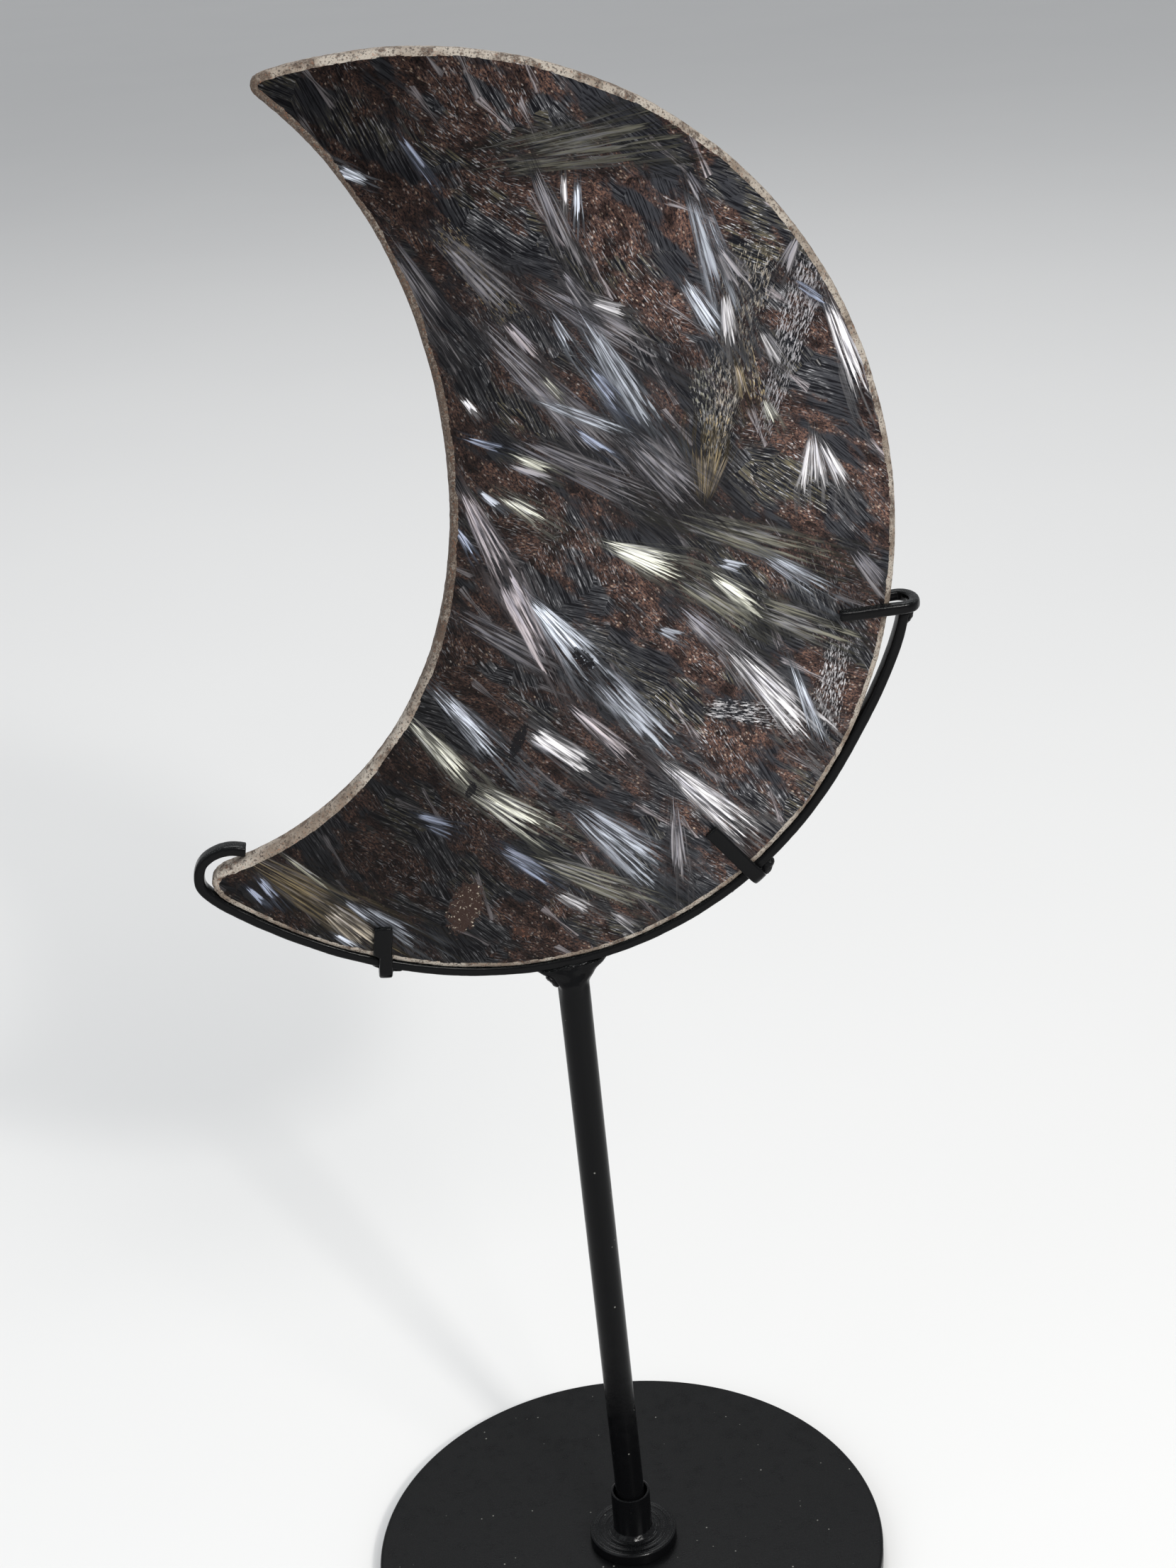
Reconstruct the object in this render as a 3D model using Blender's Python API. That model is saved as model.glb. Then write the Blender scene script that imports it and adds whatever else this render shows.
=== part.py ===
"""A polished stone crescent held in a black metal cradle on a round base.

Metres, +Z up. The origin is the centre of the base plate's underside. The crescent's polished
faces look along -Y and +Y, and its horns open towards -X. The cradle and its rod stand loosely
in the base's sleeve, so they lean a little towards the open side.
"""

import math

import bmesh
import bpy
from mathutils import Matrix, Vector

MM = 0.001

# Base plate and socket
BASE_RADIUS = 70 * MM
BASE_THICKNESS = 5 * MM
BASE_EDGE = 0.8 * MM
SOCKET_OFFSET = 0.9 * MM
FLANGE_RADIUS = 12 * MM
FLANGE_THICKNESS = 3.6 * MM
GROOVE_RADII = (7.4 * MM, 9.6 * MM)
GROOVE_WIDTH = 0.7 * MM
GROOVE_DEPTH = 0.35 * MM
SLEEVE_RADIUS = 5.35 * MM
SLEEVE_BORE = 4.55 * MM
SLEEVE_TOP = 16.5 * MM
SOCKET_EDGE = 0.4 * MM
TOUCHING_GAP = 0.3 * MM

# Rod: it leans in the loose sleeve, and everything above is measured along it
ROD_RADIUS = 3.95 * MM
ROD_LEAN = math.radians(1.58)
ROD_FOOT_SHIFT = 0.4 * MM
ROD_FOOT_CLEARANCE = 0.45 * MM
FLARE_HEIGHT = 6.5 * MM
FLARE_HALF_WIDTH = 9.4 * MM
FLARE_HALF_DEPTH = 2.6 * MM
FLARE_CURVE = 2.0

# Crescent: two hand-cut edges, each a circle that is a little oval and a little egg-shaped
SLAB_THICKNESS = 6.4 * MM
SLAB_EDGE = 1.7 * MM
OUTER_CENTRE = (-19.7 * MM, 294.4 * MM)
OUTER_RADIUS = 108.6 * MM
OUTER_OVAL = 3.9 * MM
OUTER_OVAL_AT = math.radians(-48.6)
OUTER_EGG = 2.1 * MM
OUTER_EGG_AT = math.radians(49.1)
INNER_CENTRE = (-108.3 * MM, 317.7 * MM)
INNER_RADIUS = 97.4 * MM
INNER_OVAL = 1.7 * MM
INNER_OVAL_AT = math.radians(-78.2)
INNER_EGG = 3.0 * MM
INNER_EGG_AT = math.radians(-58.6)
UPPER_TIP_CUT = 6.4 * MM
LOWER_TIP_CUT = 12.0 * MM
TIP_ROUNDING = 0.96

# Cradle: a flat bar bent round the lower edge, with a hook over the lower horn
BAR_WIDTH = 2.5 * MM
BAR_DEPTH = 4.2 * MM
BAR_CORNER = 0.7 * MM
BAR_STAND_OFF = 2.6 * MM
STAND_OFF_FROM = math.radians(-36)
BAR_END = math.radians(-16.9)
BAR_LEAVES_EDGE = math.radians(-126.5)
HOOK_POINTS = (
    (-86.0 * MM, 214.9 * MM),
    (-86.5 * MM, 218.4 * MM),
    (-85.1 * MM, 221.8 * MM),
    (-82.0 * MM, 223.8 * MM),
    (-78.3 * MM, 224.4 * MM),
    (-74.6 * MM, 223.6 * MM),
)

# Prongs: strips bent to a U under the bar, one leg on each face of the stone
PRONG_THICKNESS = 1.3 * MM
PRONG_CORNER = 0.35 * MM
PRONG_BEND = 2.0 * MM
FACE_GAP = 0.3 * MM
LEFT_PRONG_AT = math.radians(-103.6)
LEFT_PRONG_TURN = math.radians(7.3)
LEFT_PRONG_REACH = 9.2 * MM
LEFT_PRONG_WIDTH = 2.8 * MM
RIGHT_PRONG_AT = math.radians(-54.6)
RIGHT_PRONG_TURN = math.radians(-37.5)
RIGHT_PRONG_REACH = 14.7 * MM
RIGHT_PRONG_WIDTH = 3.3 * MM

# Clasp: a thinner bar bent to a U that lies level round the outer edge
CLASP_BAR = 2.3 * MM
CLASP_CORNER = 0.6 * MM
CLASP_HEIGHT = 264.3 * MM
CLASP_TIP_X = 72.0 * MM
CLASP_BEND_X = 87.4 * MM
CLASP_OUTERMOST_X = 90.5 * MM
CLASP_FINGER_Y = 4.9 * MM

STONE_COLOUR = (0.060, 0.050, 0.052, 1.0)
PAINT_COLOUR = (0.012, 0.012, 0.013, 1.0)


def clear_scene():
    for item in list(bpy.data.objects):
        bpy.data.objects.remove(item, do_unlink=True)


def make_material(name, colour, roughness, metallic):
    material = bpy.data.materials.new(name)
    material.use_nodes = True
    shader = material.node_tree.nodes["Principled BSDF"]
    shader.inputs["Base Color"].default_value = colour
    shader.inputs["Roughness"].default_value = roughness
    shader.inputs["Metallic"].default_value = metallic
    material.diffuse_color = colour
    return material


def add_object(name, mesh, material, parent, smooth_angle=35):
    mesh.materials.append(material)
    mesh.shade_smooth()
    mesh.set_sharp_from_angle(angle=math.radians(smooth_angle))
    item = bpy.data.objects.new(name, mesh)
    bpy.context.collection.objects.link(item)
    item.parent = parent
    return item


def hand_cut_circle(centre, radius, oval, oval_at, egg, egg_at):
    """The place of an edge at an angle about its centre, moved outwards by extra."""

    def place(angle, extra=0.0):
        reach = radius + extra
        reach += oval * math.cos(2 * (angle - oval_at))
        reach += egg * math.cos(3 * (angle - egg_at))
        return Vector((centre[0] + reach * math.cos(angle), 0.0, centre[1] + reach * math.sin(angle)))

    return place


outer_edge = hand_cut_circle(
    OUTER_CENTRE, OUTER_RADIUS, OUTER_OVAL, OUTER_OVAL_AT, OUTER_EGG, OUTER_EGG_AT
)
inner_edge = hand_cut_circle(
    INNER_CENTRE, INNER_RADIUS, INNER_OVAL, INNER_OVAL_AT, INNER_EGG, INNER_EGG_AT
)


def inner_angle_of(point):
    return math.atan2(point.z - INNER_CENTRE[1], point.x - INNER_CENTRE[0])


def horn_angles(low, high):
    """The outer and inner angles at which the two edges cross, found by halving."""

    def beyond_inner(angle):
        point = outer_edge(angle)
        across = Vector((point.x - INNER_CENTRE[0], 0.0, point.z - INNER_CENTRE[1]))
        reach = inner_edge(inner_angle_of(point)) - Vector((INNER_CENTRE[0], 0.0, INNER_CENTRE[1]))
        return across.length - reach.length

    low_side = beyond_inner(low) > 0
    for _ in range(40):
        middle = (low + high) / 2
        if (beyond_inner(middle) > 0) == low_side:
            low = middle
        else:
            high = middle
    return low, inner_angle_of(outer_edge(low))


def crescent_outline():
    """Outline points in order, and the indices of its two sharp corners with their cuts."""
    upper, upper_inner = horn_angles(math.radians(60), math.radians(150))
    lower, lower_inner = horn_angles(math.radians(-90), math.radians(-170))
    outer_from = upper - UPPER_TIP_CUT / OUTER_RADIUS
    outer_to = lower + LOWER_TIP_CUT / OUTER_RADIUS
    inner_from = lower_inner + LOWER_TIP_CUT / INNER_RADIUS
    inner_to = upper_inner - UPPER_TIP_CUT / INNER_RADIUS
    outer_steps, inner_steps = 84, 48
    points = [outer_edge(upper)]
    for step in range(outer_steps + 1):
        points.append(outer_edge(outer_from + (outer_to - outer_from) * step / outer_steps))
    points.append(outer_edge(lower))
    for step in range(inner_steps + 1):
        points.append(inner_edge(inner_from + (inner_to - inner_from) * step / inner_steps))
    return points, {0: UPPER_TIP_CUT, outer_steps + 2: LOWER_TIP_CUT}


def make_moon_slab(material, parent):
    points, corners = crescent_outline()
    shape = bmesh.new()
    rim = [shape.verts.new(point - Vector((0.0, SLAB_THICKNESS / 2, 0.0))) for point in points]
    shape.faces.new(rim)
    for index, cut in corners.items():
        reach = cut * TIP_ROUNDING
        bmesh.ops.bevel(
            shape, geom=[rim[index]], offset=reach, segments=7, profile=0.5, affect="VERTICES"
        )
    front = shape.faces[:]
    made = bmesh.ops.extrude_face_region(shape, geom=front)
    back = [item for item in made["geom"] if isinstance(item, bmesh.types.BMVert)]
    bmesh.ops.translate(shape, verts=back, vec=(0.0, SLAB_THICKNESS, 0.0))
    bmesh.ops.recalc_face_normals(shape, faces=shape.faces[:])
    mesh = bpy.data.meshes.new("moon_slab")
    shape.to_mesh(mesh)
    shape.free()
    slab = add_object("moon_slab", mesh, material, parent)
    rounding = slab.modifiers.new("edge_rounding", "BEVEL")
    rounding.width = SLAB_EDGE
    rounding.segments = 3
    rounding.limit_method = "ANGLE"
    rounding.angle_limit = math.radians(60)
    rounding.use_clamp_overlap = False
    return slab


def rounded_section(width, height, corner):
    """Points round a rectangle with rounded corners, anticlockwise."""
    points = []
    for turn in range(4):
        middle = math.pi / 4 + turn * math.pi / 2
        across = math.copysign(width / 2 - corner, math.cos(middle))
        along = math.copysign(height / 2 - corner, math.sin(middle))
        for step in (-1, 0, 1):
            angle = middle + step * math.pi / 4
            points.append((across + corner * math.cos(angle), along + corner * math.sin(angle)))
    return points


def sweep(name, path, side, side_size, other_size, corner):
    """A bar of rounded rectangular section along a flat path. side is the path plane's normal."""
    section = rounded_section(side_size, other_size, corner)
    shape = bmesh.new()
    rings = []
    for index, place in enumerate(path):
        before = path[max(index - 1, 0)]
        after = path[min(index + 1, len(path) - 1)]
        run = (after - before).normalized()
        other = run.cross(side).normalized()
        rings.append([shape.verts.new(place + side * u + other * v) for u, v in section])
    count = len(section)
    for first, second in zip(rings, rings[1:]):
        for k in range(count):
            shape.faces.new((first[k], first[(k + 1) % count], second[(k + 1) % count], second[k]))
    shape.faces.new(list(reversed(rings[0])))
    shape.faces.new(rings[-1])
    bmesh.ops.recalc_face_normals(shape, faces=shape.faces[:])
    mesh = bpy.data.meshes.new(name)
    shape.to_mesh(mesh)
    shape.free()
    return mesh


def smooth_through(points, steps):
    """A smooth curve through points, with its first and last points kept as guides only."""
    result = []
    for a, b, c, d in zip(points, points[1:], points[2:], points[3:]):
        for step in range(steps):
            t = step / steps
            place = b * 2 + (c - a) * t
            place += (a * 2 - b * 5 + c * 4 - d) * t**2
            place += (b * 3 - a - c * 3 + d) * t**3
            result.append(place / 2)
    result.append(points[-2].copy())
    return result


def bar_middle(angle):
    """The bar's centre line: against the stone, then standing off towards its upper end."""
    rise = min(max((angle - STAND_OFF_FROM) / (BAR_END - STAND_OFF_FROM), 0.0), 1.0)
    stand_off = BAR_STAND_OFF * rise * rise * (3 - 2 * rise)
    return outer_edge(angle, TOUCHING_GAP + BAR_WIDTH / 2 + stand_off)


def make_cradle_arc(material, parent):
    steps = 52
    along_edge = []
    for step in range(steps + 1):
        along_edge.append(bar_middle(BAR_END + (BAR_LEAVES_EDGE - BAR_END) * step / steps))
    hook = [Vector((x, 0.0, z)) for x, z in HOOK_POINTS]
    guide = hook[-1] + (hook[-1] - hook[-2])
    path = along_edge[:-1] + smooth_through([along_edge[-2], along_edge[-1], *hook, guide], 5)
    mesh = sweep("cradle_arc", path, Vector((0.0, 1.0, 0.0)), BAR_DEPTH, BAR_WIDTH, BAR_CORNER)
    return add_object("cradle_arc", mesh, material, parent)


def make_prongs(name, at, turn, reach, width, material, parent):
    """A U strip: down one face, under the bar and up the other face."""
    up = Vector((math.sin(turn), 0.0, math.cos(turn)))
    across = Vector((math.cos(turn), 0.0, -math.sin(turn)))
    under = outer_edge(at, TOUCHING_GAP * 2 + BAR_WIDTH + PRONG_THICKNESS / 2)
    slant = outer_edge(at + 0.01) - outer_edge(at - 0.01)
    dip = abs(slant.normalized().dot(up)) * width / 2
    under -= up * dip
    leg_y = SLAB_THICKNESS / 2 + FACE_GAP + PRONG_THICKNESS / 2
    top = reach + TOUCHING_GAP * 2 + BAR_WIDTH + PRONG_THICKNESS / 2 + dip
    front = [under + up * top - Vector((0.0, leg_y, 0.0))]
    bend_steps = 5
    for step in range(bend_steps + 1):
        angle = math.pi / 2 * step / bend_steps
        y = -leg_y + PRONG_BEND * (1 - math.cos(angle))
        front.append(under + up * PRONG_BEND * (1 - math.sin(angle)) + Vector((0.0, y, 0.0)))
    back = [Vector((place.x, -place.y, place.z)) for place in reversed(front)]
    mesh = sweep(name, front + back, across, width, PRONG_THICKNESS, PRONG_CORNER)
    return add_object(name, mesh, material, parent)


def make_end_clasp(material, parent):
    front = [Vector((CLASP_TIP_X, -CLASP_FINGER_Y, CLASP_HEIGHT))]
    bend_steps = 8
    for step in range(bend_steps + 1):
        angle = math.pi / 2 * (1 - step / bend_steps)
        x = CLASP_BEND_X + (CLASP_OUTERMOST_X - CLASP_BEND_X) * math.cos(angle)
        front.append(Vector((x, -CLASP_FINGER_Y * math.sin(angle), CLASP_HEIGHT)))
    back = [Vector((place.x, -place.y, place.z)) for place in reversed(front[:-1])]
    side = Vector((0.0, 0.0, 1.0))
    mesh = sweep("end_clasp", front + back, side, CLASP_BAR, CLASP_BAR, CLASP_CORNER)
    return add_object("end_clasp", mesh, material, parent)


def make_stem_rod(material, parent):
    """A round rod whose top spreads into a weld that follows the bar's underside."""
    sides, flare_steps = 40, 6
    shape = bmesh.new()

    def bar_underside(x):
        angle = math.radians(-80)
        for _ in range(12):
            place = outer_edge(angle, TOUCHING_GAP * 2 + BAR_WIDTH)
            angle += (x - place.x) / OUTER_RADIUS
        return place.z

    flare_foot = bar_underside(0.0) - FLARE_HEIGHT
    levels = [(ROD_FOOT_CLEARANCE, 0.0), (flare_foot, 0.0)]
    levels += [(None, step / flare_steps) for step in range(1, flare_steps + 1)]
    rings = []
    for height, spread in levels:
        half_width = ROD_RADIUS + (FLARE_HALF_WIDTH - ROD_RADIUS) * spread**FLARE_CURVE
        half_depth = ROD_RADIUS + (FLARE_HALF_DEPTH - ROD_RADIUS) * spread
        ring = []
        for k in range(sides):
            angle = 2 * math.pi * k / sides
            x, y = half_width * math.cos(angle), half_depth * math.sin(angle)
            z = height
            if height is None:
                z = flare_foot + (bar_underside(x) - flare_foot) * spread
            ring.append(shape.verts.new((x, y, z)))
        rings.append(ring)
    for first, second in zip(rings, rings[1:]):
        for k in range(sides):
            after = (k + 1) % sides
            shape.faces.new((first[k], first[after], second[after], second[k]))
    shape.faces.new(list(reversed(rings[0])))
    for k in range(sides // 2):
        low, high = rings[-1][k], rings[-1][k + 1]
        far_low, far_high = rings[-1][-k], rings[-1][(-k - 1) % sides]
        corners = [low, high, far_high, far_low]
        shape.faces.new([vert for n, vert in enumerate(corners) if vert not in corners[:n]])
    bmesh.ops.recalc_face_normals(shape, faces=shape.faces[:])
    mesh = bpy.data.meshes.new("stem_rod")
    shape.to_mesh(mesh)
    shape.free()
    return add_object("stem_rod", mesh, material, parent)


def turned(name, profile, steps):
    """A turned piece: a closed profile of (radius, height) spun about Z."""
    shape = bmesh.new()
    verts = [shape.verts.new((radius, 0.0, height)) for radius, height in profile]
    on_axis = profile[0][0] == 0.0
    pairs = list(zip(verts, verts[1:]))
    if not on_axis:
        pairs.append((verts[-1], verts[0]))
    edges = [shape.edges.new(pair) for pair in pairs]
    bmesh.ops.spin(
        shape,
        geom=verts + edges,
        cent=(0.0, 0.0, 0.0),
        axis=(0.0, 0.0, 1.0),
        angle=2 * math.pi,
        steps=steps,
        use_merge=True,
    )
    bmesh.ops.remove_doubles(shape, verts=shape.verts[:], dist=0.00001)
    bmesh.ops.recalc_face_normals(shape, faces=shape.faces[:])
    mesh = bpy.data.meshes.new(name)
    shape.to_mesh(mesh)
    shape.free()
    return mesh


def make_base_plate(material):
    profile = [(0.0, BASE_THICKNESS)]
    for step in range(4):
        angle = math.pi / 2 * (1 - step / 3)
        radius = BASE_RADIUS - BASE_EDGE + BASE_EDGE * math.cos(angle)
        profile.append((radius, BASE_THICKNESS - BASE_EDGE + BASE_EDGE * math.sin(angle)))
    profile.append((BASE_RADIUS, BASE_EDGE / 2))
    profile.append((BASE_RADIUS - BASE_EDGE / 2, 0.0))
    profile.append((0.0, 0.0))
    return add_object("base_plate", turned("base_plate", profile, 96), material, None)


def make_flanged_socket(material, parent):
    profile = [
        (SLEEVE_BORE, TOUCHING_GAP),
        (FLANGE_RADIUS, TOUCHING_GAP),
        (FLANGE_RADIUS, FLANGE_THICKNESS - SOCKET_EDGE),
        (FLANGE_RADIUS - SOCKET_EDGE, FLANGE_THICKNESS),
    ]
    for radius in reversed(GROOVE_RADII):
        profile.append((radius + GROOVE_WIDTH / 2, FLANGE_THICKNESS))
        profile.append((radius, FLANGE_THICKNESS - GROOVE_DEPTH))
        profile.append((radius - GROOVE_WIDTH / 2, FLANGE_THICKNESS))
    profile += [
        (SLEEVE_RADIUS + SOCKET_EDGE, FLANGE_THICKNESS),
        (SLEEVE_RADIUS, FLANGE_THICKNESS + SOCKET_EDGE),
        (SLEEVE_RADIUS, SLEEVE_TOP - SOCKET_EDGE / 2),
        (SLEEVE_RADIUS - SOCKET_EDGE / 2, SLEEVE_TOP),
        (SLEEVE_BORE + SOCKET_EDGE / 2, SLEEVE_TOP),
        (SLEEVE_BORE, SLEEVE_TOP - SOCKET_EDGE / 2),
    ]
    return add_object("flanged_socket", turned("flanged_socket", profile, 48), material, parent)


def make_empty(name, matrix):
    empty = bpy.data.objects.new(name, None)
    bpy.context.collection.objects.link(empty)
    empty.matrix_world = matrix
    return empty


def main():
    clear_scene()
    stone = make_material("polished_stone", STONE_COLOUR, 0.22, 0.0)
    paint = make_material("black_paint", PAINT_COLOUR, 0.35, 0.0)
    base_paint = make_material("black_powder_coat", PAINT_COLOUR, 0.5, 0.0)

    socket_place = Matrix.Translation((SOCKET_OFFSET, 0.0, BASE_THICKNESS))
    socket_axis = make_empty("socket_axis", socket_place)
    foot_place = Matrix.Translation((SOCKET_OFFSET + ROD_FOOT_SHIFT, 0.0, BASE_THICKNESS))
    rod_axis = make_empty("rod_axis", foot_place @ Matrix.Rotation(-ROD_LEAN, 4, "Y"))

    make_base_plate(base_paint)
    make_flanged_socket(paint, socket_axis)
    make_stem_rod(paint, rod_axis)
    make_cradle_arc(paint, rod_axis)
    make_prongs(
        "left_prongs", LEFT_PRONG_AT, LEFT_PRONG_TURN, LEFT_PRONG_REACH, LEFT_PRONG_WIDTH, paint, rod_axis
    )
    make_prongs(
        "right_prongs", RIGHT_PRONG_AT, RIGHT_PRONG_TURN, RIGHT_PRONG_REACH, RIGHT_PRONG_WIDTH, paint, rod_axis
    )
    make_end_clasp(paint, rod_axis)
    make_moon_slab(stone, rod_axis)


main()
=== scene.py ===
"""Finishes a polished stone crescent that stands in a black metal cradle on a round base."""

import math

import bpy
from mathutils import Matrix, Vector, noise


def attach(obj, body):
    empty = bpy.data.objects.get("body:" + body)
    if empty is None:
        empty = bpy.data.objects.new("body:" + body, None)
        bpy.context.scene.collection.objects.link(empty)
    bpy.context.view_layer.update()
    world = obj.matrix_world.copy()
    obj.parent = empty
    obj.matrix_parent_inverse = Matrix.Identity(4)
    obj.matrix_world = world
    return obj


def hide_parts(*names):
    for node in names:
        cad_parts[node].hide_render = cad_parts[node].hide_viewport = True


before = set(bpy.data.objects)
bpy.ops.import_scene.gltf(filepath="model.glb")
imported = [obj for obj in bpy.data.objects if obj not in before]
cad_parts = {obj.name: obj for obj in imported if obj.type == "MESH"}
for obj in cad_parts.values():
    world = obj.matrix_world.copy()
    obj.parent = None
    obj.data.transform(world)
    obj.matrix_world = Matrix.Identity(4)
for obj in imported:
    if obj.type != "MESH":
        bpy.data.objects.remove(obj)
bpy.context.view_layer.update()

MM = 0.001

# Points nearer than this are merged, in the solids and in the turned pieces
SOLID_MERGE, TURNED_MERGE = 0.004 * MM, 0.002 * MM

# Middle of the socket's foot
SOCKET_CENTRE = Vector((0.9 * MM, 0.0, 5.0 * MM))

# Camera
CAMERA_PLACE = Vector((-44.3 * MM, -516.8 * MM, 453.8 * MM))
CAMERA_YAW = -0.0928
CAMERA_PITCH = -0.4013
CAMERA_ROLL = -0.0745
CAMERA_LENS = 53.69
CAMERA_SENSOR = 36.0

# Colours, linear
BLACK = (0.0, 0.0, 0.0, 1.0)
GROUND_BLACK = (0.0050, 0.0052, 0.0070, 1.0)
GROUND_BROWN = (0.0560, 0.0330, 0.0280, 1.0)
GRAIN_RUST = (0.125, 0.068, 0.046, 1.0)
GRAIN_TAN = (0.370, 0.280, 0.210, 1.0)
FIBRE_DARK = (0.030, 0.031, 0.036, 1.0)
FIBRE_GREY = (0.120, 0.120, 0.125, 1.0)
FIBRE_PALE = (0.420, 0.420, 0.440, 1.0)
FIBRE_OLIVE = (0.120, 0.105, 0.065, 1.0)
EDGE_TAN = (0.200, 0.160, 0.125, 1.0)
EDGE_PALE = (0.390, 0.350, 0.300, 1.0)
# Brown of worn patches on the edge, also used for the painted shade along the hollow
EDGE_BROWN_AND_PAINTED_SHADE = (0.080, 0.056, 0.042, 1.0)
EDGE_DARK = (0.040, 0.032, 0.028, 1.0)
EDGE_RUST = (0.260, 0.110, 0.055, 1.0)
PAINT_BLACK = (0.0035, 0.0036, 0.0040, 1.0)
# Paler grain on paint that looks up, a painted light from above
PAINT_TOP_LIT_GRAIN = (0.070, 0.078, 0.076, 1.0)
DUST_PALE = (0.42, 0.42, 0.38, 1.0)
FLOOR_PALE = (0.80, 0.80, 0.79, 1.0)
FLOOR_CLOUD = (0.77, 0.77, 0.765, 1.0)
WORLD_COLOUR = (0.95, 0.97, 1.0, 1.0)
BLADE_SHADOW = (0.30, 0.30, 0.37, 1.0)
BLADE_COLOURS = {
    "ice": (0.66, 0.71, 0.80, 1.0),
    "white": (0.85, 0.83, 0.85, 1.0),
    "cream": (0.80, 0.80, 0.68, 1.0),
    "olive": (0.30, 0.29, 0.23, 1.0),
    "grey": (0.42, 0.40, 0.42, 1.0),
    "mauve": (0.56, 0.50, 0.52, 1.0),
    "blue": (0.44, 0.50, 0.66, 1.0),
    "ochre": (0.42, 0.33, 0.19, 1.0),
    "tan": (0.58, 0.51, 0.41, 1.0),
}

# Brightness of the surroundings, the point the lamps look at, and the lamps: name, place, size,
# power and colour
WORLD_STRENGTH = 0.5
LAMP_AIM = Vector((0.0, 0.0, 0.24))
LAMPS = (
    ("key", (0.62, -1.35, 1.40), 0.8, 14.0, (1.0, 0.98, 0.95)),
    ("glint", (0.50, -1.20, 1.05), 0.14, 9.0, (1.0, 0.98, 0.95)),
    ("fill", (-1.3, -0.6, 1.0), 1.2, 5.0, (0.92, 0.96, 1.0)),
    ("top", (0.1, 1.1, 2.0), 1.0, 16.0, (1.0, 1.0, 1.0)),
)

# The crescent's hollow, along which the edge is painted with shade: the middle of its arc, x and z, and its
# radius with a margin, in mm
HOLLOW_CENTRE = (-115.7, 319.6)
HOLLOW_REACH = 102.0

# Cuts of the stone's edge strips, and the lines in mm that part its faces into zones
EDGE_CUTS = 5
ZONE_X = (-40, 0, 38)
ZONE_Z = (232, 276, 320, 364)

# The outer limits of the zones in mm, well outside the stone
LIMITS_X, LIMITS_Z = (-200, 200), (0, 600)

# On the back face the pattern is shifted by this much, x and z in mm
BACK_SHIFT = (7.0, 9.0)

# Strewn sprays: cell size in mm, turn and its spread in degrees, fan, reach and share of the cells,
# how strongly they shine, seed and two colours
FIELDS = (
    (12.0, -50, 50, 0.13, 0.60, 0.45, 0.55, 11.0, "grey", "mauve"),
)

# Round each spray lie fainter threads on a darker ground
HALO_DARK, HALO_SHINE = 0.42, 0.36

# Painted shade and light: the horns are painted darker than the middle and the right brighter, as if lit
# from the right: x in mm where that starts and ends, and the brightness there
PAINTED_SHADE_AT, PAINTED_LIGHT_AT = -42.0, 42.0
PAINTED_SHADE_LEVEL, PAINTED_LIGHT_LEVEL = 0.26, 1.30

# How strongly the polished faces and the edge shine
FACE_SHINE, EDGE_SHINE = 0.09, 0.3

# The way the broad bands of the ground run
BAND_TURN = math.radians(44)

# Share of a mask that is added to the place, far too small to see
TRACE = 0.000001

# Patches on the front face: centre, x and z, half length and half width in mm, turn in degrees,
# colour of the ground and of the grains, and how much of the patch the grains cover
PATCHES = (
    ("break_bright", 4.8, 266.8, 3.6, 1.6, -50, "black", "ice", 0.30),
    ("break_low_left", -12.3, 247.9, 5.0, 1.5, 62, "black", "tan", 0.12),
    ("break_left", -24.6, 236.6, 2.2, 1.2, 60, "black", "tan", 0.10),
    ("pale_low", -28.5, 206.0, 7.5, 4.2, 66, "brown", "tan", 0.30),
    ("rust_low", -15.3, 197.6, 2.4, 1.4, -30, "brown", "rust", 0.55),
)
PATCH_COLOURS = {
    "black": (0.0045, 0.0045, 0.0060, 1.0),
    "brown": (0.0350, 0.0200, 0.0160, 1.0),
    "rust": (0.1500, 0.0700, 0.0450, 1.0),
}

# Fans of short flecks on the front face, in the same order of values as the sprays below
FLECK_FANS = (
    ("white_right", 30, 252, -14, 30, 6.0, 11.0, "white", 0.75),
    ("white_edge", 67, 268, -104, 30, 8.0, 14.0, "white", 0.7),
    ("fan_left", 38, 307, 95, 30, 4.0, 10.0, "olive", 0.8),
    ("fan_middle", 37, 305, 78, 60, 4.0, 22.0, "tan", 0.8),
    ("fan_gold", 36, 301, 82, 24, 3.0, 12.0, "ochre", 1.0),
    ("fan_right", 47, 310, 71, 54, 5.0, 16.0, "grey", 0.9),
    ("gold_drop", 46, 340, -80, 18, 3.0, 6.0, "ochre", 1.0),
    ("middle_grey", 12, 326, -48, 36, 8.0, 16.0, "grey", 0.8),
    ("upper_brown", -22, 372, -55, 34, 8.0, 12.0, "ochre", 0.4),
)

# Radii in mm of the grooves in the socket's flange
SOCKET_GROOVES = (9.6, 7.4)

# The left prong's tips are wider: the height where that starts and how much is added on the left
LEFT_PRONG_TIPS = (196.2 * MM, 1.5 * MM)

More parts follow.
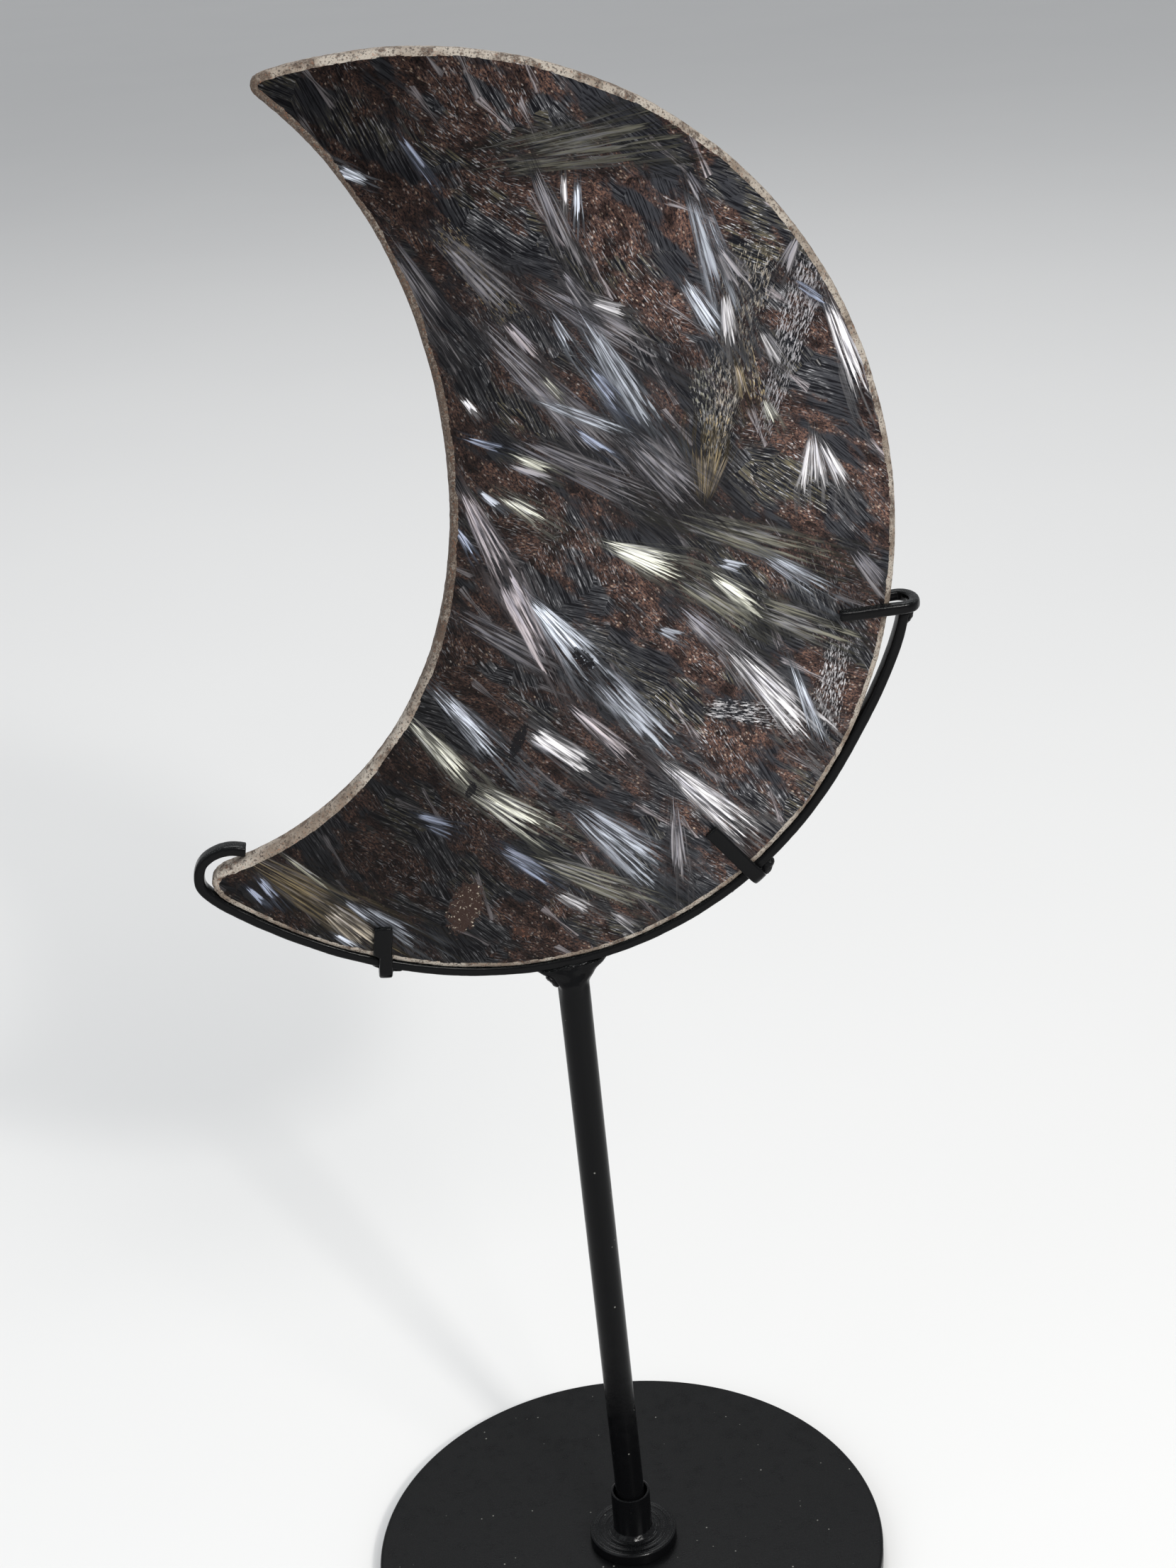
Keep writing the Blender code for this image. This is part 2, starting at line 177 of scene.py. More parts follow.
# Weld beads: each lump's centre and half sizes in mm, and its turn in degrees
WELDS = (
    ("left_prong_weld", (
        ((-51.2, 0.0, 192.2), (2.2, 2.0, 0.9), -36),
        ((-46.6, 0.0, 190.7), (2.4, 2.0, 0.9), -3),
        ((-48.9, 0.0, 191.0), (2.4, 2.2, 1.3), -15),
    )),
    ("right_prong_weld", (
        ((45.5, 0.0, 206.4), (3.0, 2.4, 2.0), 34),
        ((46.9, -0.4, 207.7), (1.5, 1.8, 1.5), 34),
        ((43.7, 0.2, 204.9), (1.9, 2.0, 1.1), 34),
        ((37.6, 0.0, 202.0), (3.2, 1.9, 1.0), 36),
        ((33.8, 0.0, 199.7), (2.2, 1.8, 0.8), 32),
    )),
    ("clasp_weld", (
        ((83.2, 0.0, 269.2), (1.4, 1.9, 1.8), 0),
        ((82.7, 0.0, 267.6), (1.2, 1.8, 1.5), 0),
    )),
    ("rod_weld", (
        ((-8.7, 0.0, 182.0), (2.6, 1.9, 1.0), -50),
        ((0.2, 0.0, 183.8), (2.4, 1.9, 1.1), 45),
        ((-4.4, -0.8, 184.2), (4.0, 1.6, 1.5), 4),
        ((-4.0, 0.0, 185.7), (6.4, 2.7, 1.3), 6),
    )),
)

# Crystal sprays on the front face: where each starts, x and z in mm, the way it points in degrees,
# its length, its width at the start and at the end in mm, its colour and how strongly it shines
SPRAYS = (
    ("band_upper", -20, 367, -48, 26, 3.0, 7.0, "grey", 0.35),
    ("band_arc", -1, 355, -36, 35, 3.0, 8.0, "grey", 0.5),
    ("band_long", -13, 347, -50, 52, 3.0, 10.0, "grey", 0.45),
    ("band_middle", 7, 342, -56, 46, 4.0, 10.0, "ice", 0.3),
    ("band_fan", 36, 372, -75, 34, 3.0, 8.0, "ice", 0.45),
    ("band_low_horn", -80, 226, -39, 42, 4.0, 12.0, "ochre", 0.28),
    ("band_centre", -8, 321, -30, 42, 3.0, 9.0, "grey", 0.3),
    ("band_left", -31, 366, -62, 26, 3.0, 7.0, "grey", 0.25),
    ("band_right", 28, 299, -23, 42, 4.0, 9.0, "olive", 0.5),
    ("band_left_low", -24, 281, -36, 34, 3.0, 7.0, "grey", 0.28),
    ("mauve_upper", -20, 310, -68, 25, 1.9, 6.1, "mauve", 0.75),
    ("mauve_lower", -12, 289, -69, 31, 6.1, 4.6, "mauve", 0.8),
    ("blue_bright", -7, 283, -54, 24, 1.7, 8.4, "ice", 1.0),
    ("blue_tail", 7, 263, -52, 31, 4.8, 7.6, "ice", 0.6),
    ("yellow_fan", 12, 294, -27, 20, 1.4, 7.3, "cream", 1.0),
    ("yellow_tail", 29, 284, -39, 23, 4.6, 6.9, "olive", 0.6),
    ("cream_small", -11, 308, -39, 13, 1.7, 3.7, "cream", 0.9),
    ("blue_small", -16, 309, -43, 6, 0.8, 1.4, "ice", 0.7),
    ("right_pale", 36, 284, -40, 16, 2.0, 5.7, "cream", 0.85),
    ("right_tail", 47, 275, -27, 24, 4.6, 6.9, "olive", 0.55),
    ("pale_short", 38, 287, -23, 7, 1.4, 2.4, "ice", 0.75),
    ("right_blades", 48, 288, -36, 21, 1.5, 5.7, "ice", 0.7),
    ("long_right", 28, 277, -46, 22, 2.3, 6.1, "grey", 0.6),
    ("long_right_end", 40, 265, -51, 32, 3.3, 10.0, "white", 0.9),
    ("vee_left", 61, 315, -90, 13, 1.1, 8.4, "white", 0.85),
    ("vee_right", 63, 313, -64, 14, 1.1, 3.5, "white", 0.8),
    ("ochre_fan", 35, 302, 82, 14, 2.3, 11.4, "ochre", 0.6),
    ("grey_wedge", 25, 319, -62, 12, 2.3, 3.8, "grey", 0.8),
    ("arc_blades", -1, 329, -27, 22, 1.1, 3.1, "ice", 0.65),
    ("blue_blade", 13, 328, -44, 10, 0.8, 2.1, "blue", 0.6),
    ("grey_mass", 18, 319, -47, 25, 4.6, 9.9, "grey", 0.45),
    ("cream_blades", -8, 317, -29, 10, 1.2, 2.3, "cream", 0.8),
    ("grey_blade", -9, 315, -28, 12, 0.9, 2.3, "grey", 0.6),
    ("blue_pair", 7, 321, -41, 10, 0.9, 1.7, "blue", 0.7),
    ("blue_thin", -18, 322, -23, 10, 0.8, 1.8, "blue", 0.6),
    ("white_drop", -18, 331, -56, 5, 0.8, 1.2, "white", 1.0),
    ("left_edge_blue", -22, 301, -64, 7, 0.8, 1.5, "blue", 0.85),
    ("small_blue", 23, 272, -27, 6, 0.9, 2.3, "ice", 0.7),
    ("right_edge_grey", 70, 286, -56, 15, 2.3, 4.6, "grey", 0.45),
    ("low_white", 21, 239, -46, 34, 2.1, 8.1, "white", 1.0),
    ("mauve_thin", 1, 255, -48, 23, 1.1, 5.2, "mauve", 0.8),
    ("low_blue", -30, 262, -53, 24, 2.3, 5.5, "ice", 0.85),
    ("low_mid", -9, 250, -41, 20, 3.6, 5.7, "white", 0.75),
    ("left_cream", -37, 256, -54, 22, 1.5, 4.6, "cream", 0.8),
    ("left_cream_end", -24, 237, -39, 23, 2.9, 7.6, "cream", 0.85),
    ("blue_low", -19, 221, -39, 18, 1.9, 4.8, "blue", 0.6),
    ("olive_low", -11, 217, -28, 38, 2.9, 7.6, "olive", 0.6),
    ("grey_fan", 0, 229, -45, 30, 3.4, 11.4, "ice", 0.6),
    ("down_fan", 24, 228, -90, 23, 1.7, 5.7, "grey", 0.65),
    ("small_white", -6, 207, -38, 10, 1.7, 3.2, "white", 0.7),
    ("small_white_two", 7, 200, -40, 10, 1.3, 3.2, "white", 0.7),
    ("right_line", 54, 260, -73, 23, 1.0, 2.9, "ice", 0.75),
    ("tan_low", -62, 210, -49, 15, 3.3, 6.5, "tan", 0.7),
    ("blue_low_left", -53, 209, -41, 17, 1.5, 4.3, "ice", 0.55),
    ("blue_foot", -57, 211, -46, 10, 0.8, 1.6, "ice", 0.7),
    ("white_foot", -61, 203, -40, 7, 0.8, 1.8, "ice", 0.7),
    ("horn_blue", -77, 220, -58, 8, 1.1, 2.3, "blue", 0.7),
    ("horn_blue_two", -80, 218, -54, 6, 0.5, 1.3, "blue", 0.6),
    ("horn_line", -71, 226, -46, 17, 0.5, 1.2, "olive", 0.8),
    ("faint_blue", -38, 232, -25, 10, 0.9, 2.2, "blue", 0.35),
    ("faint_blue_two", -36, 229, -30, 7, 0.8, 2.4, "blue", 0.35),
    ("flash", -40, 383, -28, 7, 1.9, 1.5, "ice", 0.85),
    ("upright_left", 8, 378, -92, 8, 0.7, 0.9, "white", 0.7),
    ("upright", 11, 376, -93, 9, 0.7, 1.9, "ice", 0.9),
    ("olive_streaks", -6, 382, 5, 42, 6.0, 12.0, "olive", 0.24),
    ("high_grey", 35, 376, -63, 8, 1.0, 2.2, "grey", 0.6),
    ("high_blue", 33, 353, -60, 17, 2.2, 4.3, "ice", 0.85),
    ("high_white", 42, 349, -85, 12, 1.4, 3.6, "white", 0.75),
    ("high_grain", 41, 359, -57, 11, 1.7, 5.1, "grey", 0.6),
    ("upper_grey", 2, 379, -71, 23, 1.7, 5.1, "grey", 0.4),
    ("upper_blue", 3, 348, -64, 9, 0.9, 1.9, "ice", 0.9),
    ("upper_mauve", -7, 347, -53, 12, 1.4, 3.4, "mauve", 0.55),
    ("arc_white", 6, 357, -57, 11, 1.2, 2.6, "grey", 0.8),
    ("arc_white_two", 12, 350, -24, 9, 1.2, 2.6, "white", 0.6),
    ("blue_band", 10, 347, -62, 30, 2.2, 6.9, "ice", 0.5),
    ("deep_blue", 11, 335, -55, 12, 1.4, 2.6, "blue", 0.8),
    ("cream_short", 0, 334, -51, 8, 0.9, 1.5, "cream", 0.75),
    # Partly painted highlight: white blades at the right edge, painted bright where the face curves away and
    # catches the light
    ("edge_blades_and_highlight", 65, 346, -70, 25, 2.1, 5.1, "white", 0.95),
    ("short_blue", 58, 350, -38, 8, 1.2, 2.2, "blue", 0.6),
    ("gold", 44, 333, -81, 10, 1.2, 2.9, "ochre", 0.9),
    ("gold_white", 50, 324, -69, 6, 0.9, 2.6, "cream", 1.0),
    ("fan_grey", 59, 360, -117, 9, 1.0, 3.4, "grey", 0.6),
    ("white_grey", 50, 340, -62, 9, 1.2, 3.1, "white", 0.55),
    ("dark_streak", -26, 388, -59, 11, 0.9, 1.7, "blue", 0.4),
)


# Helpers for modelling

def select_only(piece):
    bpy.ops.object.select_all(action="DESELECT")
    piece.select_set(True)
    bpy.context.view_layer.objects.active = piece


def open_edit(piece, mode="VERT"):
    select_only(piece)
    bpy.ops.object.mode_set(mode="EDIT")
    bpy.ops.mesh.select_mode(type=mode)
    bpy.ops.mesh.select_all(action="SELECT")


def close_edit():
    bpy.ops.object.mode_set(mode="OBJECT")


def fix_transform():
    bpy.ops.object.transform_apply(location=True, rotation=True, scale=True)


def name_both(piece, name):
    piece.name = name
    piece.data.name = name


def copy_of_solid(node, name):
    """A copy of a solid with its own mesh, its loose triangles merged again."""
    piece = bpy.data.objects.new(name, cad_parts[node].data.copy())
    piece.data.name = name
    bpy.context.scene.collection.objects.link(piece)
    piece.data.materials.clear()
    open_edit(piece)
    bpy.ops.mesh.customdata_custom_splitnormals_clear()
    bpy.ops.mesh.remove_doubles(threshold=SOLID_MERGE)
    close_edit()
    return piece


def apply_modifier(piece, kind, **settings):
    select_only(piece)
    modifier = piece.modifiers.new(kind.lower(), kind)
    for name, value in settings.items():
        setattr(modifier, name, value)
    bpy.ops.object.modifier_apply(modifier=modifier.name)


def smooth_surface(piece, levels):
    apply_modifier(piece, "SUBSURF", levels=levels, render_levels=levels)
    select_only(piece)
    bpy.ops.object.shade_smooth()


def move_points(piece, places):
    for vert, place in zip(piece.data.vertices, places):
        vert.co = place
    piece.data.update()


def roughen(piece, size, depth, seed=0.0, where=None):
    """Moves each point along its normal by a smooth noise with lumps of the given size."""
    shift = Vector((seed * 3.1, seed * 1.7, seed * 2.3))
    moved = []
    for vert in piece.data.vertices:
        share = 1.0 if where is None else where(vert.co)
        lump = noise.noise(vert.co / size + shift)
        moved.append(vert.co + vert.normal * (lump * depth * share))
    move_points(piece, moved)


def swell(piece, depth):
    """Moves the whole skin outwards, to make up for what smoothing takes off."""
    move_points(piece, [vert.co + vert.normal * depth for vert in piece.data.vertices])


def soften_corners(piece, width, segments):
    """Pairs the triangles up again and rounds the corners."""
    open_edit(piece, "FACE")
    bpy.ops.mesh.tris_convert_to_quads()
    close_edit()
    apply_modifier(
        piece, "BEVEL", width=width, segments=segments, limit_method="ANGLE", angle_limit=math.radians(60)
    )


def select_where(piece, mode, kind, wanted):
    """Edit mode with only those vertices, edges or polygons selected that wanted picks."""
    open_edit(piece, mode)
    bpy.ops.mesh.select_all(action="DESELECT")
    close_edit()
    for part in getattr(piece.data, kind):
        part.select = wanted(part)
    bpy.ops.object.mode_set(mode="EDIT")


def finish_piece(piece, material, slot, *nodes):
    piece.data.materials.clear()
    piece.data.materials.append(material)
    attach(piece, "root")
    if nodes:
        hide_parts(*nodes)


# Helpers for materials

def link(tree, value, socket):
    """Joins an output to a socket, or sets the socket to a plain value."""
    if isinstance(value, bpy.types.NodeSocket):
        tree.links.new(value, socket)
    else:
        socket.default_value = value


def maths(tree, operation, first, second=0.0, third=None, clamp=False):
    node = tree.nodes.new("ShaderNodeMath")
    node.operation = operation
    node.use_clamp = clamp
    link(tree, first, node.inputs[0])
    link(tree, second, node.inputs[1])
    if third is not None:
        link(tree, third, node.inputs[2])
    return node.outputs[0]


def times(tree, first, second, clamp=False):
    return maths(tree, "MULTIPLY", first, second, clamp=clamp)


def times_plus(tree, first, second, third):
    """The first times the second, plus the third."""
    return maths(tree, "MULTIPLY_ADD", first, second, third)


def plus(tree, first, second):
    return maths(tree, "ADD", first, second)


def minus(tree, first, second):
    return maths(tree, "SUBTRACT", first, second)


def lesser(tree, first, second):
    return maths(tree, "MINIMUM", first, second)


def flat_length(tree, first, second):
    """How far a point with these two coordinates lies from the middle."""
    return maths(tree, "SQRT", plus(tree, times(tree, first, first), times(tree, second, second)))


def vector_maths(tree, operation, first, second):
    node = tree.nodes.new("ShaderNodeVectorMath")
    node.operation = operation
    link(tree, first, node.inputs[0])
    link(tree, second, node.inputs["Scale"] if operation == "SCALE" else node.inputs[1])
    return node.outputs["Vector"]


def combine(tree, x, y, z):
    node = tree.nodes.new("ShaderNodeCombineXYZ")
    for value, socket in zip((x, y, z), node.inputs):
        link(tree, value, socket)
    return node.outputs[0]


def separate(tree, vector):
    node = tree.nodes.new("ShaderNodeSeparateXYZ")
    link(tree, vector, node.inputs[0])
    return node.outputs


def mix(tree, share, first, second):
    node = tree.nodes.new("ShaderNodeMix")
    node.data_type = "RGBA"
    link(tree, share, node.inputs[0])
    link(tree, first, node.inputs[6])
    link(tree, second, node.inputs[7])
    return node.outputs[2]


def mix_values(tree, share, first, second):
    node = tree.nodes.new("ShaderNodeMix")
    link(tree, share, node.inputs[0])
    link(tree, first, node.inputs[2])
    link(tree, second, node.inputs[3])
    return node.outputs[0]


def separate_colour(tree, colour):
    node = tree.nodes.new("ShaderNodeSeparateColor")
    link(tree, colour, node.inputs[0])
    return node.outputs


def scaled_colour(tree, colour, level):
    """A colour made brighter or darker by a value."""
    node = tree.nodes.new("ShaderNodeMix")
    node.data_type = "RGBA"
    node.clamp_factor = False
    link(tree, level, node.inputs[0])
    link(tree, BLACK, node.inputs[6])
    link(tree, colour, node.inputs[7])
    return node.outputs[2]


def step(tree, value, low, high, to_low=0.0, to_high=1.0):
    """A smooth step from low to high."""
    node = tree.nodes.new("ShaderNodeMapRange")
    node.interpolation_type = "SMOOTHSTEP"
    for entry, socket in zip((value, low, high, to_low, to_high), node.inputs):
        link(tree, entry, socket)
    return node.outputs[0]


def noise_at(tree, vector, scale, detail, roughness, colour=False, flat=False):
    node = tree.nodes.new("ShaderNodeTexNoise")
    node.noise_dimensions = "2D" if flat else "3D"
    link(tree, vector, node.inputs["Vector"])
    link(tree, scale, node.inputs["Scale"])
    link(tree, detail, node.inputs["Detail"])
    link(tree, roughness, node.inputs["Roughness"])
    return node.outputs["Color"] if colour else node.outputs["Fac"]


def cells_at(tree, vector, scale, flat=False):
    node = tree.nodes.new("ShaderNodeTexVoronoi")
    node.voronoi_dimensions = "2D" if flat else "3D"
    link(tree, vector, node.inputs["Vector"])
    link(tree, scale, node.inputs["Scale"])
    return node.outputs


def new_group(name, inputs, outputs):
    """A node group, its sockets listed by kind. Returns its tree, its inputs and its outputs by name."""
    kinds = {"value": "NodeSocketFloat", "vector": "NodeSocketVector", "colour": "NodeSocketColor"}
    tree = bpy.data.node_groups.new(name, "ShaderNodeTree")
    for side, sockets in (("INPUT", inputs), ("OUTPUT", outputs)):
        for kind, labels in sockets.items():
            for label in labels.split(", "):
                tree.interface.new_socket(label, in_out=side, socket_type=kinds[kind])
    entry = tree.nodes.new("NodeGroupInput")
    leave = tree.nodes.new("NodeGroupOutput")
    return tree, entry.outputs, leave.inputs


def use_group(tree, group, **values):
    """Places a group in a tree. Underscores in the names stand for spaces."""
    node = tree.nodes.new("ShaderNodeGroup")
    node.node_tree = group
    for name, value in values.items():
        link(tree, value, node.inputs[name.replace("_", " ")])
    return node.outputs


def new_material(name, roughness):
    material = bpy.data.materials.new(name)
    material.use_nodes = True
    tree = material.node_tree
    shader = tree.nodes["Principled BSDF"]
    shader.inputs["Roughness"].default_value = roughness
    return material, tree, shader


def object_place(tree):
    return tree.nodes.new("ShaderNodeTexCoord").outputs["Object"]


def bump(tree, height, distance, strength, shader):
    node = tree.nodes.new("ShaderNodeBump")
    node.inputs["Strength"].default_value = strength
    node.inputs["Distance"].default_value = distance
    link(tree, height, node.inputs["Height"])
    tree.links.new(node.outputs["Normal"], shader.inputs["Normal"])


def in_mm(tree, place):
    return vector_maths(tree, "SCALE", place, 1.0 / MM)


def turned_about_z(tree, vector, angle):
    node = tree.nodes.new("ShaderNodeVectorRotate")
    node.rotation_type = "Z_AXIS"
    link(tree, vector, node.inputs["Vector"])
    link(tree, angle, node.inputs["Angle"])
    return node.outputs[0]


def framed(tree, place, centre, turn, length, width):
    """Where a place lies in a turned frame: how far along it and how far across."""
    mapping = tree.nodes.new("ShaderNodeMapping")
    mapping.vector_type = "TEXTURE"
    link(tree, place, mapping.inputs["Vector"])
    link(tree, centre, mapping.inputs["Location"])
    link(tree, combine(tree, 0.0, 0.0, turn), mapping.inputs["Rotation"])
    link(tree, combine(tree, length, width, 1.0), mapping.inputs["Scale"])
    along, across, _ = separate(tree, mapping.outputs["Vector"])
    return along, across


def held_place(tree, place, mask):
    """The place with a trace of a mask added.

    It makes the renderer finish one group before it starts the next, so that a long chain
    fits its memory.
    """
    trace = times(tree, mask, TRACE)
    return vector_maths(tree, "ADD", place, combine(tree, trace, trace, trace))


# Node groups

# What the layers of the pattern hand on, and what sprays and fans are given
LAYER = {"colour": "Colour", "vector": "Place"}
FAN = {
    "colour": "Under, Blade Colour",
    "vector": "Place, Start",
    "value": "Turn, Length, Start Width, End Width, Seed, Shine",
}


def make_crystal_spray():
    """One fan of crystal blades: straight, side by side, ragged at both ends.

    Round it lie fainter threads on a darker ground.
    """
    tree, given, out = new_group("crystal_spray", FAN, LAYER)
    along, across = framed(tree, given["Place"], given["Start"], given["Turn"], given["Length"], 1.0)
    inside = times(tree, along, 1.0, clamp=True)
    width = mix_values(tree, inside, given["Start Width"], given["End Width"])
    width = times_plus(tree, width, 1.35, 0.5)
    side = maths(tree, "DIVIDE", times(tree, across, 2.0), width)
    blades = times(tree, side, times_plus(tree, given["End Width"], 0.7, 1.0))
    run = times(tree, along, times(tree, given["Length"], 0.07))
    streaks = noise_at(tree, combine(tree, blades, run, given["Seed"]), 1.0, 3.0, 0.62, colour=True)
    red, green, blue = separate_colour(tree, streaks)
    late = times_plus(tree, red, 1.1, -0.46)
    early = times_plus(tree, green, -1.7, 1.64)
    from_start = times(tree, minus(tree, along, late), 14.0)
    from_end = times(tree, minus(tree, early, along), 14.0)
    sway = times_plus(tree, green, 0.9, 0.55)
    from_side = minus(tree, sway, maths(tree, "ABSOLUTE", side))
    nearest = lesser(tree, from_start, from_end)
    mask = lesser(tree, nearest, times(tree, from_side, 3.0))
    mask = times(tree, mask, 1.0, clamp=True)
    bright = step(tree, blue, 0.38, 0.62)
    share = times(tree, mask, times_plus(tree, bright, 0.45, 0.55))
    flank = times(tree, side, side)
    strength = times_plus(tree, flank, -0.75, 1.2)
    strength = times(tree, strength, times_plus(tree, along, -0.35, 1.15))
    level = times(tree, times_plus(tree, bright, 0.95, 0.16), given["Shine"])
    level = times(tree, level, times_plus(tree, red, 1.1, 0.5))
    level = times(tree, level, strength)
    halo_late = times_plus(tree, red, -0.9, 0.75)
    halo_early = times_plus(tree, green, -1.2, 2.05)
    halo_start = times(tree, plus(tree, along, halo_late), 3.0)
    halo_end = times(tree, minus(tree, halo_early, along), 3.0)
    halo_side = minus(tree, times(tree, sway, 1.55), maths(tree, "ABSOLUTE", side))
    halo = lesser(tree, lesser(tree, halo_start, halo_end), halo_side)
    halo = times(tree, halo, 1.0, clamp=True)
    under = mix(tree, times(tree, halo, HALO_DARK), given["Under"], GROUND_BLACK)
    thread = times(tree, halo, step(tree, blue, 0.46, 0.60))
    thread_level = times(tree, times_plus(tree, red, 1.4, -0.35), HALO_SHINE)
    thread_level = times(tree, thread_level, given["Shine"])
    thread_colour = scaled_colour(tree, given["Blade Colour"], thread_level)
    under = mix(tree, times(tree, thread, 0.8), under, thread_colour)
    other = times(tree, step(tree, green, 0.44, 0.60), 0.55)
    tint = mix(tree, other, given["Blade Colour"], BLADE_SHADOW)
    link(tree, mix(tree, share, under, scaled_colour(tree, tint, level)), out["Colour"])
    link(tree, held_place(tree, given["Place"], share), out["Place"])
    return tree


def make_fleck_fan():
    """A fan of short pale flecks, all pointing away from its start."""
    tree, given, out = new_group("fleck_fan", FAN, LAYER)
    along, across = framed(tree, given["Place"], given["Start"], given["Turn"], given["Length"], 1.0)
    inside = times(tree, along, 1.0, clamp=True)
    width = mix_values(tree, inside, given["Start Width"], given["End Width"])
    side = maths(tree, "DIVIDE", times(tree, across, 2.0), width)
    blades = times(tree, side, times_plus(tree, given["End Width"], 1.1, 0.9))
    run = times(tree, along, times(tree, given["Length"], 0.62))
    flecks = noise_at(tree, combine(tree, blades, run, given["Seed"]), 1.0, 2.0, 0.6, colour=True)
    red, green, blue = separate_colour(tree, flecks)
    nearest = lesser(tree, along, minus(tree, 1.0, along))
    from_side = minus(tree, 1.0, maths(tree, "ABSOLUTE", side))
    nearest = lesser(tree, times(tree, nearest, 3.0), from_side)
    limit = times_plus(tree, times(tree, nearest, 2.0, clamp=True), -0.26, 0.76)
    share = step(tree, red, limit, plus(tree, limit, 0.07))
    share = times(tree, share, times(tree, nearest, 6.0, clamp=True))
    dark = times(tree, times(tree, nearest, 3.0, clamp=True), step(tree, red, 0.52, 0.44))
    under = mix(tree, times(tree, dark, 0.6), given["Under"], GROUND_BLACK)
    tint = mix(tree, step(tree, green, 0.46, 0.60), given["Blade Colour"], FIBRE_PALE)
    level = times(tree, times_plus(tree, blue, 2.2, -0.35), given["Shine"])
    link(tree, mix(tree, share, under, scaled_colour(tree, tint, level)), out["Colour"])
    link(tree, held_place(tree, given["Place"], share), out["Place"])
    return tree


def make_spray_field():
    """Sprays strewn over the face: in each cell one bow tie of blades, turned its own way."""
    inputs = {
        "colour": "Under, First Colour, Second Colour", "vector": "Place",
        "value": "Cell, Turn, Turn Spread, Fan, Reach, Share, Shine, Seed",
    }
    tree, given, out = new_group("spray_field", inputs, LAYER)
    scaled = vector_maths(tree, "SCALE", given["Place"], maths(tree, "DIVIDE", 1.0, given["Cell"]))
    shift = combine(tree, given["Seed"], times(tree, given["Seed"], 1.7), 0.0)
    spot = vector_maths(tree, "ADD", scaled, shift)
    cells = cells_at(tree, spot, 1.0, flat=True)
    pick, chance, tone = separate_colour(tree, cells["Color"])
    offset = vector_maths(tree, "SUBTRACT", spot, cells["Position"])
    turn = times_plus(tree, minus(tree, pick, 0.5), given["Turn Spread"], given["Turn"])
    along, across, _ = separate(tree, turned_about_z(tree, offset, times(tree, turn, -1.0)))
    far = maths(tree, "ABSOLUTE", along)
    half = times_plus(tree, far, given["Fan"], 0.03)
    side = maths(tree, "DIVIDE", across, half)
    seed = times(tree, tone, 37.0)
    blades = combine(tree, times(tree, side, 2.4), times(tree, along, 1.3), seed)
    red, green, blue = separate_colour(tree, noise_at(tree, blades, 1.0, 2.0, 0.6, colour=True))
    limit = times(tree, given["Reach"], times_plus(tree, red, 1.6, 0.2))
    from_end = times(tree, minus(tree, limit, far), 12.0)
    from_side = times(tree, minus(tree, 1.0, maths(tree, "ABSOLUTE", side)), 3.0)
    mask = lesser(tree, from_end, from_side)
    there = maths(tree, "LESS_THAN", chance, given["Share"])
    mask = times(tree, times(tree, mask, 1.0, clamp=True), there, clamp=True)
    bright = step(tree, blue, 0.38, 0.62)
    share = times(tree, mask, times_plus(tree, bright, 0.5, 0.4), clamp=True)
    colour = mix(tree, tone, given["First Colour"], given["Second Colour"])
    level = times(tree, times_plus(tree, bright, 0.9, 0.1), given["Shine"])
    level = times(tree, level, times_plus(tree, green, 1.6, 0.2))
    link(tree, mix(tree, share, given["Under"], scaled_colour(tree, colour, level)), out["Colour"])
    link(tree, held_place(tree, given["Place"], share), out["Place"])
    return tree


def make_grains():
    """Fine crystal grains in a patch: dark ground, rust flakes and pale specks, all a little drawn out."""
    inputs = {"colour": "Under", "vector": "Place", "value": "Patch"}
    tree, given, out = new_group("grains", inputs, {"colour": "Colour"})
    fine = noise_at(tree, given["Place"], 1.3, 3.0, 0.75)
    rough = noise_at(tree, given["Place"], 0.14, 4.0, 0.72)
    cells = cells_at(tree, given["Place"], 1.25)
    chance, tone, warm = separate_colour(tree, cells["Color"])
    brown = mix(tree, step(tree, fine, 0.36, 0.56), GROUND_BLACK, GROUND_BROWN)
    rust_share = times(tree, step(tree, fine, 0.48, 0.68), step(tree, rough, 0.40, 0.58))
    brown = mix(tree, rust_share, brown, GRAIN_RUST)
    brown = scaled_colour(tree, brown, step(tree, rough, 0.34, 0.66, 0.30, 1.55))
    near = step(tree, cells["Distance"], 0.20, 0.60, 1.0, 0.0)
    rich = step(tree, rough, 0.36, 0.62, 0.96, 0.66)
    speck = times(tree, near, maths(tree, "GREATER_THAN", chance, rich))
    speck = times(tree, speck, times(tree, tone, tone))
    brown = mix(tree, speck, brown, mix(tree, times(tree, warm, 0.6), GRAIN_TAN, FIBRE_PALE))
    link(tree, mix(tree, given["Patch"], given["Under"], brown), out["Colour"])
    return tree


def make_patch():
    """An oval patch with a ragged edge: a ground colour with grains of another strewn over it."""
    inputs = {
        "colour": "Under, Ground Colour, Grain Colour", "vector": "Place, Centre",
        "value": "Turn, Half Length, Half Width, Cover",
    }
    tree, given, out = new_group("patch", inputs, LAYER)
    half_length, half_width = given["Half Length"], given["Half Width"]
    along, across = framed(tree, given["Place"], given["Centre"], given["Turn"], half_length, half_width)
    reach = plus(tree, times(tree, along, along), times(tree, across, across))
    grains = noise_at(tree, given["Place"], 1.0, 3.5, 0.75, colour=True, flat=True)
    red, green, _ = separate_colour(tree, grains)
    uneven = times_plus(tree, red, 2.6, minus(tree, -0.3, reach))
    mask = times(tree, uneven, 4.0, clamp=True)
    limit = times_plus(tree, given["Cover"], -0.32, 0.68)
    grain = times(tree, step(tree, green, limit, plus(tree, limit, 0.16)), mask)
    colour = mix(tree, times(tree, mask, 0.9), given["Under"], given["Ground Colour"])
    level = times_plus(tree, red, 1.8, -0.1)
    link(tree, mix(tree, grain, colour, scaled_colour(tree, given["Grain Colour"], level)), out["Colour"])
    link(tree, held_place(tree, given["Place"], grain), out["Place"])
    return tree


